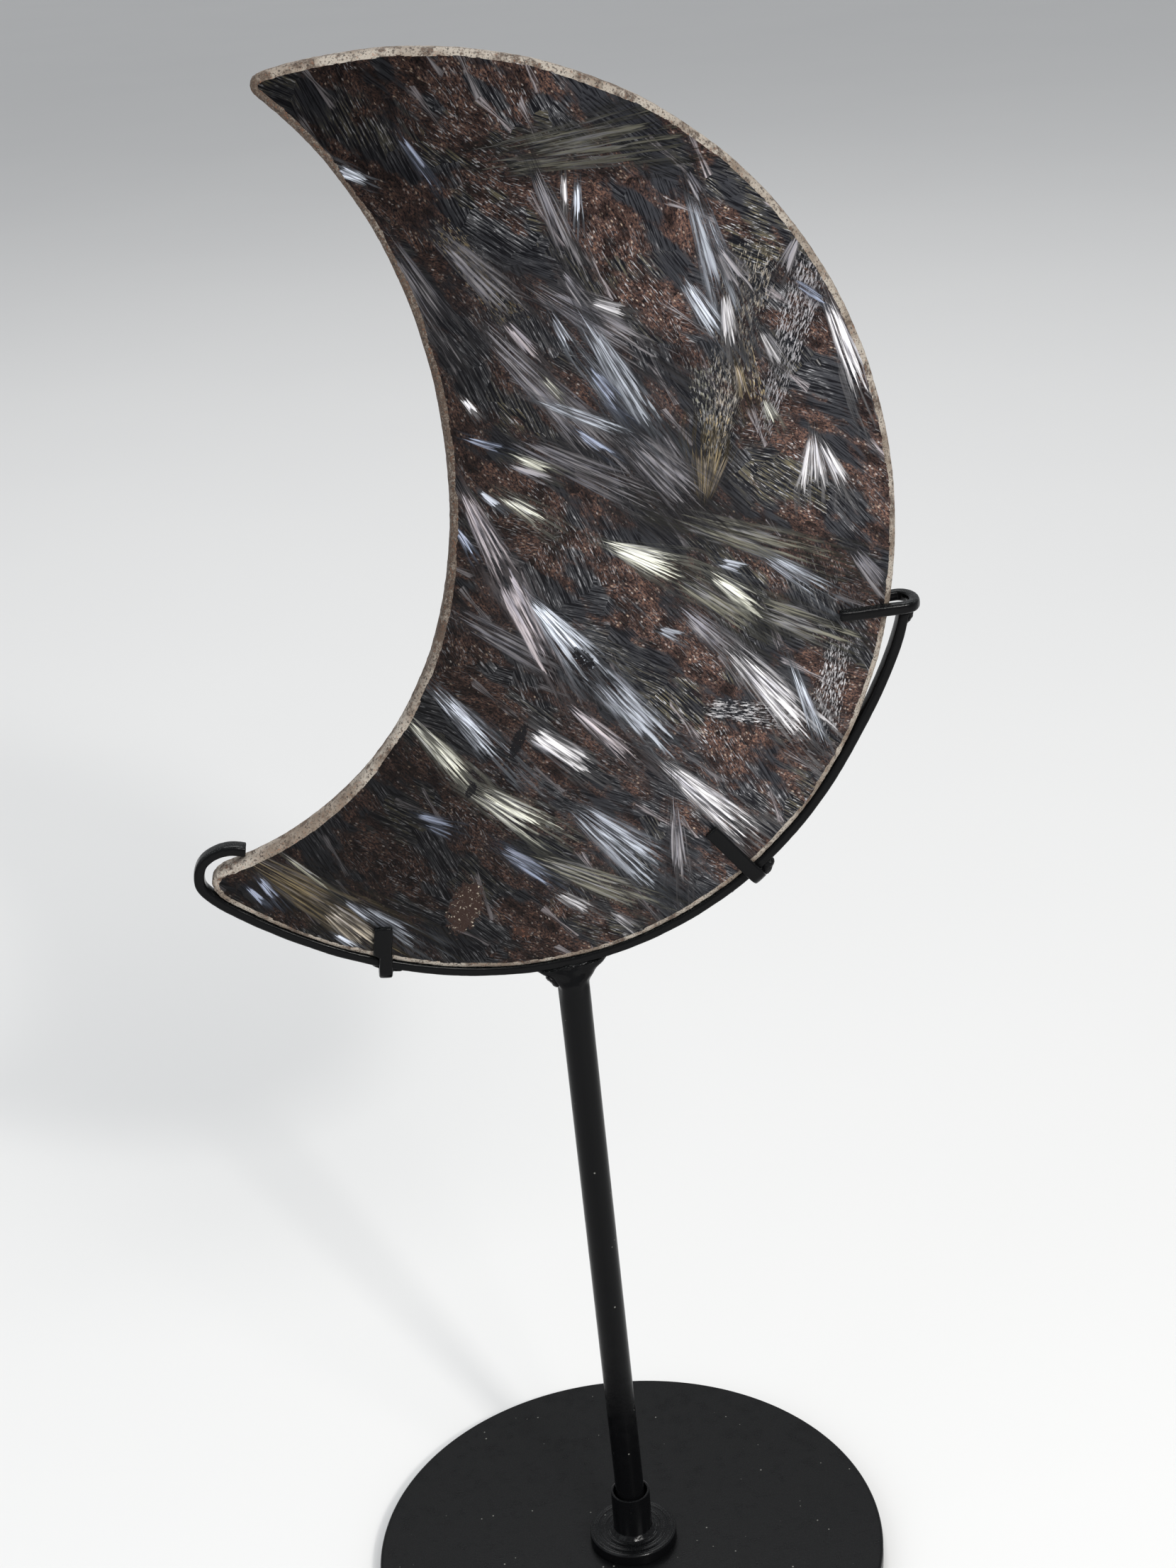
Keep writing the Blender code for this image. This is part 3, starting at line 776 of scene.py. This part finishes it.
def make_stone_ground(groups):
    """The stone between its sprays: domains of fibres that run their own way, under broad bands."""
    tree, given, out = new_group("stone_ground", {"vector": "Place"}, LAYER)
    place = given["Place"]
    wander = noise_at(tree, place, 0.11, 2.0, 0.5, colour=True, flat=True)
    bend = vector_maths(tree, "SCALE", vector_maths(tree, "SUBTRACT", wander, (0.5, 0.5, 0.5)), 16.0)
    domain = cells_at(tree, vector_maths(tree, "ADD", place, bend), 0.062, flat=True)
    pick, tone, kind = separate_colour(tree, domain["Color"])
    turn = times_plus(tree, pick, math.radians(56), math.radians(18))
    run = turned_about_z(tree, place, turn)
    fibres = noise_at(tree, vector_maths(tree, "MULTIPLY", run, (0.11, 2.2, 1.0)), 1.0, 3.0, 0.68, flat=True)
    flecks = noise_at(tree, vector_maths(tree, "MULTIPLY", run, (0.40, 2.9, 1.0)), 1.0, 2.0, 0.6, flat=True)
    banded = vector_maths(tree, "MULTIPLY", turned_about_z(tree, place, BAND_TURN), (0.030, 0.072, 1.0))
    bands = noise_at(tree, banded, 1.0, 3.5, 0.68, colour=True, flat=True)
    patches, silk, bare = separate_colour(tree, bands)
    colour = mix(tree, step(tree, fibres, 0.40, 0.56), GROUND_BLACK, FIBRE_DARK)
    grey = mix(tree, step(tree, kind, 0.55, 0.75), FIBRE_GREY, FIBRE_OLIVE)
    silk = times(tree, step(tree, silk, 0.40, 0.60), times_plus(tree, tone, 0.7, 0.4))
    grey_share = times(tree, step(tree, fibres, 0.48, 0.64), silk)
    colour = mix(tree, grey_share, colour, grey)
    patch = times(tree, step(tree, patches, 0.44, 0.53), step(tree, bare, 0.68, 0.58))
    drawn_out = vector_maths(tree, "MULTIPLY", run, (0.95, 1.75, 1.0))
    colour = use_group(tree, groups["grains"], Under=colour, Place=drawn_out, Patch=patch)["Colour"]
    pale_share = times(tree, step(tree, flecks, 0.57, 0.68), step(tree, fibres, 0.43, 0.58))
    pale_share = times(tree, pale_share, silk)
    colour = mix(tree, pale_share, colour, FIBRE_PALE)
    link(tree, colour, out["Colour"])
    link(tree, held_place(tree, place, pale_share), out["Place"])
    return tree


def make_specks():
    """Dust and paint specks: a mask of small dots, sparse and uneven in size."""
    inputs = {"vector": "Place", "value": "Spacing, Size, Share"}
    tree, given, out = new_group("specks", inputs, {"value": "Mask"})
    spot = vector_maths(tree, "SCALE", given["Place"], maths(tree, "DIVIDE", 1.0, given["Spacing"]))
    cells = cells_at(tree, spot, 1.0)
    chance, tone, _ = separate(tree, cells["Color"])
    limit = times(tree, given["Size"], times_plus(tree, tone, 0.8, 0.3))
    dot = step(tree, cells["Distance"], limit, times(tree, limit, 0.5))
    link(tree, times(tree, dot, maths(tree, "LESS_THAN", chance, given["Share"])), out["Mask"])
    return tree


def make_upward():
    """How far a surface looks up, 0 on walls and 1 on level tops."""
    tree, given, out = new_group("upward", {"value": "From, To"}, {"value": "Mask"})
    normal = tree.nodes.new("ShaderNodeTexCoord").outputs["Normal"]
    _, _, up = separate(tree, normal)
    link(tree, step(tree, up, given["From"], given["To"]), out["Mask"])
    return tree


# Materials

def near_zone(zone, middle_x, middle_z, reach_x, reach_z):
    """Whether something this far round a point can lie in a zone, seen from the front or the back."""
    low_x, high_x = (LIMITS_X[0], *ZONE_X, LIMITS_X[1])[zone[0]:zone[0] + 2]
    low_z, high_z = (LIMITS_Z[0], *ZONE_Z, LIMITS_Z[1])[zone[1]:zone[1] + 2]
    across = low_x - reach_x < middle_x < high_x + reach_x + BACK_SHIFT[0]
    along = low_z - reach_z - BACK_SHIFT[1] < middle_z < high_z + reach_z
    return across and along


def touches_zone(spray, zone):
    """Whether a spray and the threads round it can reach into a zone of the polished face."""
    _, x, z, turn, length, start, end, _, _ = spray
    angle = math.radians(turn)
    cos_turn, sin_turn = math.cos(angle), math.sin(angle)
    half_length, half_width = 0.85 * length, 0.9 * max(start, end)
    reach_x = half_length * abs(cos_turn) + half_width * abs(sin_turn) + 1.0
    reach_z = half_length * abs(sin_turn) + half_width * abs(cos_turn) + 1.0
    return near_zone(zone, x + 0.6 * length * cos_turn, z + 0.6 * length * sin_turn, reach_x, reach_z)


def make_polished_face(groups, zone):
    """The polished face in one zone: the ground, strewn sprays, and the fans and patches that stand out."""
    material, tree, shader = new_material("polished_astrophyllite_%d_%d" % zone, 0.2)
    x, y, z = separate(tree, object_place(tree))
    behind = maths(tree, "GREATER_THAN", y, 0.0)
    shift_x, shift_z = BACK_SHIFT
    flat_x = times_plus(tree, behind, shift_x * MM, x)
    flat = combine(tree, flat_x, times_plus(tree, behind, -shift_z * MM, z), 0.0)
    place = in_mm(tree, flat)
    ground = use_group(tree, groups["stone_ground"], Place=place)
    colour = ground["Colour"]
    held = ground["Place"]
    for cell, turn, spread, fan, reach, share, shine, seed, first, second in FIELDS:
        made = use_group(
            tree, groups["spray_field"], Under=colour, Place=held, Cell=cell,
            Turn=math.radians(turn), Turn_Spread=math.radians(spread), Fan=fan, Reach=reach,
            Share=share, Shine=shine, Seed=seed,
            First_Colour=BLADE_COLOURS[first], Second_Colour=BLADE_COLOURS[second],
        )
        colour, held = made["Colour"], made["Place"]
    # Painted shade and light: the face's colour is scaled from dark at the horns on the left to bright on
    # the right
    painted_light_level = step(tree, flat_x, PAINTED_SHADE_AT * MM, PAINTED_LIGHT_AT * MM, PAINTED_SHADE_LEVEL, PAINTED_LIGHT_LEVEL)
    colour = scaled_colour(tree, colour, painted_light_level)
    fans = [(spray, "fleck_fan") for spray in FLECK_FANS] + [(spray, "crystal_spray") for spray in SPRAYS]
    for number, (spray, kind) in enumerate(fans):
        if not touches_zone(spray, zone):
            continue
        _, start_x, start_z, turn, length, start, end, tint, shine = spray
        made = use_group(
            tree, groups[kind], Under=colour, Place=held,
            Start=(float(start_x), float(start_z), 0.0), Turn=math.radians(turn), Length=float(length),
            Start_Width=start, End_Width=end, Seed=number * 4.7 + 1.3,
            Blade_Colour=BLADE_COLOURS[tint], Shine=shine,
        )
        colour, held = made["Colour"], made["Place"]
    for patch in PATCHES:
        _, middle_x, middle_z, half_length, half_width, turn, ground_name, grain_name, cover = patch
        reach = 2 * half_length + 1
        if not near_zone(zone, middle_x, middle_z, reach, reach):
            continue
        made = use_group(
            tree, groups["patch"], Under=colour, Place=held, Centre=(middle_x, middle_z, 0.0),
            Turn=math.radians(turn), Half_Length=half_length, Half_Width=half_width,
            Ground_Colour=PATCH_COLOURS[ground_name],
            Grain_Colour=PATCH_COLOURS.get(grain_name) or BLADE_COLOURS[grain_name], Cover=cover,
        )
        colour, held = made["Colour"], made["Place"]
    tree.links.new(colour, shader.inputs["Base Color"])
    haze = noise_at(tree, place, 0.09, 2.0, 0.5, flat=True)
    link(tree, step(tree, haze, 0.3, 0.7, 0.14, 0.25), shader.inputs["Roughness"])
    shader.inputs["Specular IOR Level"].default_value = FACE_SHINE
    pits = noise_at(tree, place, 2.6, 2.0, 0.6)
    bump(tree, pits, 0.02 * MM, 0.25, shader)
    return material


def make_sawn_edge(groups):
    """The stone's ground edge: beige, painted brown along the hollow as painted shade, with dark and rust
    specks and fine lines.
    """
    material, tree, shader = new_material("ground_stone_edge", 0.85)
    place = in_mm(tree, object_place(tree))
    fine = noise_at(tree, place, 1.5, 3.0, 0.75)
    broad = noise_at(tree, place, 0.09, 3.0, 0.65)
    stretched = vector_maths(tree, "MULTIPLY", place, (1.0, 0.25, 1.0))
    lines = noise_at(tree, stretched, 2.4, 2.0, 0.6)
    # Painted shade: the wall along the hollow, above a height, is painted brown, standing in for the shade
    # it lies in
    from_hollow = vector_maths(tree, "SUBTRACT", place, (HOLLOW_CENTRE[0], 0.0, HOLLOW_CENTRE[1]))
    x, _, z = separate(tree, from_hollow)
    reach = flat_length(tree, x, z)
    hollow = step(tree, reach, HOLLOW_REACH, HOLLOW_REACH + 2.0, 1.0, 0.0)
    high = step(tree, z, -68.0, -40.0)
    hollow = times(tree, hollow, high)
    colour = mix(tree, step(tree, broad, 0.38, 0.60), EDGE_TAN, EDGE_PALE)
    hollow_shade_share = times(tree, hollow, step(tree, fine, 0.34, 0.56, 0.45, 1.0))
    colour = mix(tree, hollow_shade_share, colour, EDGE_BROWN_AND_PAINTED_SHADE)
    worn = step(tree, noise_at(tree, place, 0.22, 3.0, 0.7), 0.50, 0.62)
    colour = mix(tree, times(tree, worn, step(tree, fine, 0.36, 0.52, 0.35, 0.9)), colour, EDGE_BROWN_AND_PAINTED_SHADE)
    colour = mix(tree, times(tree, step(tree, fine, 0.56, 0.70), 0.6), colour, EDGE_RUST)
    colour = mix(tree, times(tree, step(tree, lines, 0.52, 0.68), 0.8), colour, EDGE_DARK)
    dark = use_group(tree, groups["specks"], Place=place, Spacing=0.9, Size=0.42, Share=0.45)["Mask"]
    colour = mix(tree, times(tree, dark, 0.75), colour, EDGE_DARK)
    tree.links.new(colour, shader.inputs["Base Color"])
    bump(tree, plus(tree, fine, lines), 0.22 * MM, 0.7, shader)
    shader.inputs["Specular IOR Level"].default_value = EDGE_SHINE
    return material


def make_black_paint(groups, name, roughness, grain, top_light, shine, rings=False):
    """Black paint on metal: fine orange peel, its grain painted paler where it looks up as painted light
    from above, odd specks.
    """
    material, tree, shader = new_material(name, roughness)
    place = in_mm(tree, object_place(tree))
    peel = noise_at(tree, place, grain, 3.0, 0.6)
    powder = noise_at(tree, place, 3.4, 3.0, 0.8)
    # Painted light: the grain is painted paler on faces that look up, standing in for light from above;
    # those faces are also made rougher
    up = use_group(tree, groups["upward"], From=0.35, To=0.95)["Mask"]
    top_lit_share = times(tree, step(tree, powder, 0.50, 0.66), up)
    top_lit_share = times(tree, top_lit_share, top_light)
    colour = mix(tree, top_lit_share, PAINT_BLACK, PAINT_TOP_LIT_GRAIN)
    dots = use_group(tree, groups["specks"], Place=place, Spacing=3.4, Size=0.09, Share=0.5)["Mask"]
    colour = mix(tree, times(tree, dots, 0.45), colour, DUST_PALE)
    tree.links.new(colour, shader.inputs["Base Color"])
    uneven = noise_at(tree, place, 0.3, 2.0, 0.5)
    level = step(tree, uneven, 0.3, 0.7, roughness - 0.07, roughness + 0.08)
    link(tree, times_plus(tree, top_lit_share, 0.3, level), shader.inputs["Roughness"])
    height = peel
    if rings:
        from_axis = vector_maths(tree, "SUBTRACT", place, (SOCKET_CENTRE.x / MM, SOCKET_CENTRE.y / MM, 0.0))
        x, y, _ = separate(tree, from_axis)
        radius = flat_length(tree, x, y)
        ring = times(tree, maths(tree, "SINE", times(tree, radius, 11.5)), up)
        height = times_plus(tree, ring, 0.45, peel)
    bump(tree, height, 0.06 * MM, 0.6, shader)
    shader.inputs["Specular IOR Level"].default_value = shine
    return material


def make_floor_material():
    material, tree, shader = new_material("pale_floor", 0.7)
    place = object_place(tree)
    cloud = noise_at(tree, place, 3.0, 3.0, 0.5)
    colour = mix(tree, cloud, FLOOR_PALE, FLOOR_CLOUD)
    tree.links.new(colour, shader.inputs["Base Color"])
    return material


# Pieces

def make_moon_stone(face_materials, edge_material):
    """The crescent: flat polished faces that meet a rough, slightly chipped edge in a crisp line."""
    piece = copy_of_solid("moon_slab", "moon_stone")
    face_y = max(vert.co.y for vert in piece.data.vertices)
    face_level = face_y - 0.01 * MM
    select_where(piece, "FACE", "polygons", lambda face: abs(face.center.y) > face_level)
    bpy.ops.mesh.delete(type="FACE")
    bpy.ops.mesh.select_all(action="SELECT")
    bpy.ops.mesh.tris_convert_to_quads()
    bpy.ops.mesh.subdivide(number_cuts=EDGE_CUTS)
    close_edit()
    normals = [vert.normal.copy() for vert in piece.data.vertices]
    for vert, normal in zip(piece.data.vertices, normals):
        flat = vert.co.copy()
        on_border = abs(flat.y) > face_level
        lump = 0.09 * noise.noise(flat / (1.0 * MM)) + 0.16 * noise.noise(flat / (11.0 * MM))
        if on_border:
            chip = noise.noise(flat / (1.7 * MM) + Vector((7.0, 3.0, 1.0)))
            lump -= 0.55 * max(chip - 0.32, 0.0) + 0.12 * noise.noise(flat / (0.7 * MM))
        shift = Vector((normal.x, 0.0, normal.z)).normalized() * lump * MM
        if not on_border:
            shift.y = normal.y * lump * MM
        vert.co = flat + shift
    for side in (-1, 1):
        select_where(
            piece, "EDGE", "edges",
            lambda edge: all(piece.data.vertices[end].co.y * side > face_level for end in edge.vertices),
        )
        bpy.ops.mesh.mark_sharp()
        bpy.ops.mesh.edge_face_add()
        close_edit()
    for place, normal in [((x, 0, 0), (1, 0, 0)) for x in ZONE_X] + [((0, 0, z), (0, 0, 1)) for z in ZONE_Z]:
        open_edit(piece, "FACE")
        bpy.ops.mesh.bisect(plane_co=[c * MM for c in place], plane_no=normal)
        close_edit()
    open_edit(piece, "VERT")
    bpy.ops.mesh.normals_make_consistent(inside=False)
    close_edit()
    select_only(piece)
    bpy.ops.object.shade_smooth_by_angle(angle=math.radians(50), keep_sharp_edges=True)
    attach(piece, "root")
    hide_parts("moon_slab")
    piece.data.materials.append(edge_material)
    places = {}
    for face in piece.data.polygons:
        if abs(face.center.y) < face_level:
            continue
        zone = zone_of(face.center.x / MM, face.center.z / MM)
        if zone not in places:
            piece.data.materials.append(face_materials(zone))
            places[zone] = len(piece.data.materials) - 1
        face.material_index = places[zone]


def zone_of(x, z):
    """The zone of the polished face, as its column and row."""
    return sum(x > edge for edge in ZONE_X), sum(z > edge for edge in ZONE_Z)


def widen_tips(piece, height, spread):
    """Draws the legs' tips, all that lies above a height, out to the left."""
    across = [vert.co.x for vert in piece.data.vertices if vert.co.z > height]
    left, right = min(across), max(across)
    wider = 1.0 + spread / (right - left)
    select_where(piece, "VERT", "vertices", lambda vert: vert.co.z > height)
    bpy.ops.transform.resize(value=(wider, 1.0, 1.0), center_override=(right, 0.0, height))
    close_edit()


def make_metal_strip(node, name, material, levels, unevenness, swelling, tips=None):
    """A bent bar or strip: the solid with softer corners, a rounded cut end and a hand-bent line."""
    piece = copy_of_solid(node, name)
    soften_corners(piece, 0.25 * MM, 1)
    smooth_surface(piece, levels)
    swell(piece, swelling)
    if tips:
        widen_tips(piece, *tips)
    roughen(piece, 6.0 * MM, unevenness)
    roughen(piece, 1.1 * MM, unevenness * 0.35, seed=5.0)
    finish_piece(piece, material, "black_paint", node)


def make_rod(material):
    """The round rod, and the lumpy weld that spreads it under the bar."""
    piece = copy_of_solid("stem_rod", "rod")
    soften_corners(piece, 0.4 * MM, 2)
    smooth_surface(piece, 2)
    weld_foot = 177.0 * MM
    roughen(piece, 2.6 * MM, 0.5 * MM, where=lambda place: 1.0 if place.z > weld_foot else 0.0)
    finish_piece(piece, material, "black_paint", "stem_rod")


def turned(name, profile, centre, sides):
    """A turned piece, drawn out ring by ring: the profile gives each ring's radius and height in mm."""
    bpy.ops.object.select_all(action="DESELECT")
    radius, height = profile[0]
    closed = profile[0] == profile[-1]
    bpy.ops.mesh.primitive_circle_add(
        vertices=sides, radius=radius * MM, fill_type="NOTHING" if closed else "NGON",
        location=centre + Vector((0.0, 0.0, height * MM)),
    )
    piece = bpy.context.object
    name_both(piece, name)
    fix_transform()
    open_edit(piece, "EDGE")
    for next_radius, next_height in profile[1:]:
        bpy.ops.mesh.extrude_edges_move(
            TRANSFORM_OT_translate={"value": (0.0, 0.0, (next_height - height) * MM)}
        )
        ratio = next_radius / radius
        bpy.ops.transform.resize(value=(ratio, ratio, 1.0), center_override=centre)
        radius, height = next_radius, next_height
    if not closed:
        bpy.ops.mesh.edge_face_add()
    bpy.ops.mesh.select_all(action="SELECT")
    bpy.ops.mesh.remove_doubles(threshold=TURNED_MERGE)
    bpy.ops.mesh.normals_make_consistent(inside=False)
    close_edit()
    select_only(piece)
    bpy.ops.object.shade_smooth_by_angle(angle=math.radians(40))
    return piece


def make_base_disc(material):
    """The round base plate: flat, with a small rounded rim."""
    profile = [(69.4, 0.0), (69.75, 0.12), (70.0, 0.5)]
    for number in range(7):
        angle = math.radians(90 * number / 6)
        profile.append((69.2 + 0.8 * math.cos(angle), 4.2 + 0.8 * math.sin(angle)))
    profile += [(68.8, 5.0), (68.0, 5.0)]
    piece = turned("base_disc", profile, Vector((0.0, 0.0, 0.0)), 240)
    finish_piece(piece, material, "black_powder_coat", "base_plate")


def make_socket(material):
    """The flanged socket, turned from bar: a grooved flange, a sleeve and the weld at its foot."""
    profile = [(4.55, 0.3), (11.8, 0.3), (12.0, 0.5), (12.0, 2.9), (11.93, 3.25), (11.72, 3.48), (11.4, 3.6)]
    for groove in SOCKET_GROOVES:
        profile += [(groove + 0.30, 3.6), (groove + 0.12, 3.5), (groove - 0.12, 3.5), (groove - 0.30, 3.6)]
    profile += [(6.5, 3.6), (6.2, 3.78), (5.95, 4.2), (5.6, 4.5), (5.42, 4.62), (5.35, 4.9), (5.35, 16.1)]
    profile += [(5.29, 16.38), (5.1, 16.5), (4.75, 16.5), (4.6, 16.36), (4.55, 16.1), (4.55, 0.3)]
    piece = turned("socket", profile, SOCKET_CENTRE, 128)

    def near_foot(place):
        radius = math.hypot(place.x - SOCKET_CENTRE.x, place.y - SOCKET_CENTRE.y) / MM
        height = (place.z - SOCKET_CENTRE.z) / MM
        return 1.0 if 5.4 < radius < 6.6 and 3.3 < height < 4.8 else 0.0

    roughen(piece, 1.3 * MM, 0.22 * MM, where=near_foot)
    finish_piece(piece, material, "black_paint", "flanged_socket")


def make_weld(name, lumps, material):
    """A weld bead: round lumps run together into one skin, smoothed and left a little uneven.

    Each lump is tipped so that its right end goes up by its turn.
    """
    bpy.ops.object.select_all(action="DESELECT")
    made = []
    for (x, y, z), (along, across, high), turn in lumps:
        centre = Vector((x, y, z)) * MM
        bpy.ops.mesh.primitive_uv_sphere_add(segments=32, ring_count=16, radius=1.0 * MM, location=centre)
        lump = bpy.context.object
        fix_transform()
        open_edit(lump)
        bpy.ops.transform.resize(value=(along, across, high), center_override=centre)
        bpy.ops.transform.rotate(value=math.radians(turn), orient_axis="Y", center_override=centre)
        close_edit()
        made.append(lump)
    bpy.ops.object.select_all(action="DESELECT")
    for lump in made:
        lump.select_set(True)
    bpy.context.view_layer.objects.active = made[0]
    bpy.ops.object.join()
    piece = bpy.context.object
    name_both(piece, name)
    apply_modifier(piece, "REMESH", mode="VOXEL", voxel_size=0.2 * MM)
    apply_modifier(piece, "SMOOTH", factor=0.5, iterations=8)
    roughen(piece, 1.5 * MM, 0.35 * MM, seed=len(name))
    roughen(piece, 0.5 * MM, 0.09 * MM, seed=len(name) + 3)
    select_only(piece)
    bpy.ops.object.shade_smooth()
    finish_piece(piece, material, "black_paint")


def make_welds(material):
    for name, lumps in WELDS:
        make_weld(name, lumps, material)


def build_stage():
    bpy.ops.object.select_all(action="DESELECT")
    bpy.ops.mesh.primitive_plane_add(size=16.0, location=(0.0, 0.0, -0.0003))
    floor = bpy.context.object
    floor.name = "floor"
    fix_transform()
    floor.data.materials.append(make_floor_material())

    camera = bpy.data.objects.new("camera", bpy.data.cameras.new("camera"))
    bpy.context.scene.collection.objects.link(camera)
    cos_pitch, sin_pitch = math.cos(CAMERA_PITCH), math.sin(CAMERA_PITCH)
    ahead = Vector((-math.sin(CAMERA_YAW) * cos_pitch, math.cos(CAMERA_YAW) * cos_pitch, sin_pitch))
    level = Vector((math.cos(CAMERA_YAW), math.sin(CAMERA_YAW), 0.0))
    upright = level.cross(ahead)
    right = math.cos(CAMERA_ROLL) * level + math.sin(CAMERA_ROLL) * upright
    up = -math.sin(CAMERA_ROLL) * level + math.cos(CAMERA_ROLL) * upright
    turn = Matrix((right, up, -ahead)).transposed().to_4x4()
    camera.matrix_world = Matrix.Translation(CAMERA_PLACE) @ turn
    camera.data.lens = CAMERA_LENS
    camera.data.sensor_width = CAMERA_SENSOR
    camera.data.clip_start = 0.01
    bpy.context.scene.camera = camera

    world = bpy.data.worlds.new("studio")
    world.use_nodes = True
    sky = world.node_tree.nodes["Background"]
    sky.inputs["Color"].default_value = WORLD_COLOUR
    sky.inputs["Strength"].default_value = WORLD_STRENGTH
    bpy.context.scene.world = world
    for name, place, size, power, colour in LAMPS:
        lamp = bpy.data.lights.new(name, "AREA")
        lamp.size = size
        lamp.energy = power
        lamp.color = colour
        item = bpy.data.objects.new(name, lamp)
        bpy.context.scene.collection.objects.link(item)
        facing = (Vector(place) - LAMP_AIM).to_track_quat("Z", "Y").to_matrix().to_4x4()
        item.matrix_world = Matrix.Translation(Vector(place)) @ facing
    bpy.context.scene.view_settings.view_transform = "Standard"


def main():
    build_stage()
    groups = {
        "crystal_spray": make_crystal_spray(),
        "fleck_fan": make_fleck_fan(),
        "spray_field": make_spray_field(),
        "grains": make_grains(),
        "patch": make_patch(),
        "specks": make_specks(),
        "upward": make_upward(),
    }
    groups["stone_ground"] = make_stone_ground(groups)
    edge = make_sawn_edge(groups)
    paint = make_black_paint(groups, "cradle_black_paint", 0.17, 2.2, 0.7, shine=0.10)
    turned_paint = make_black_paint(groups, "turned_black_paint", 0.17, 2.2, 0.2, rings=True, shine=0.12)
    coat = make_black_paint(groups, "base_powder_coat", 0.34, 1.6, 0.15, shine=0.1)

    make_moon_stone(lambda zone: make_polished_face(groups, zone), edge)
    make_metal_strip("cradle_arc", "cradle_bar", paint, 2, 0.12 * MM, 0.06 * MM)
    make_metal_strip("left_prongs", "left_prong_strip", paint, 3, 0.10 * MM, 0.25 * MM, LEFT_PRONG_TIPS)
    make_metal_strip("right_prongs", "right_prong_strip", paint, 3, 0.10 * MM, 0.18 * MM)
    make_metal_strip("end_clasp", "clasp_wire", paint, 3, 0.12 * MM, 0.26 * MM)
    make_rod(paint)
    make_socket(turned_paint)
    make_base_disc(coat)
    make_welds(paint)
    finishes = {"base_plate": coat, "flanged_socket": turned_paint, "moon_slab": edge}
    for name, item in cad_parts.items():
        item.data.materials.clear()
        item.data.materials.append(finishes.get(name, paint))


main()
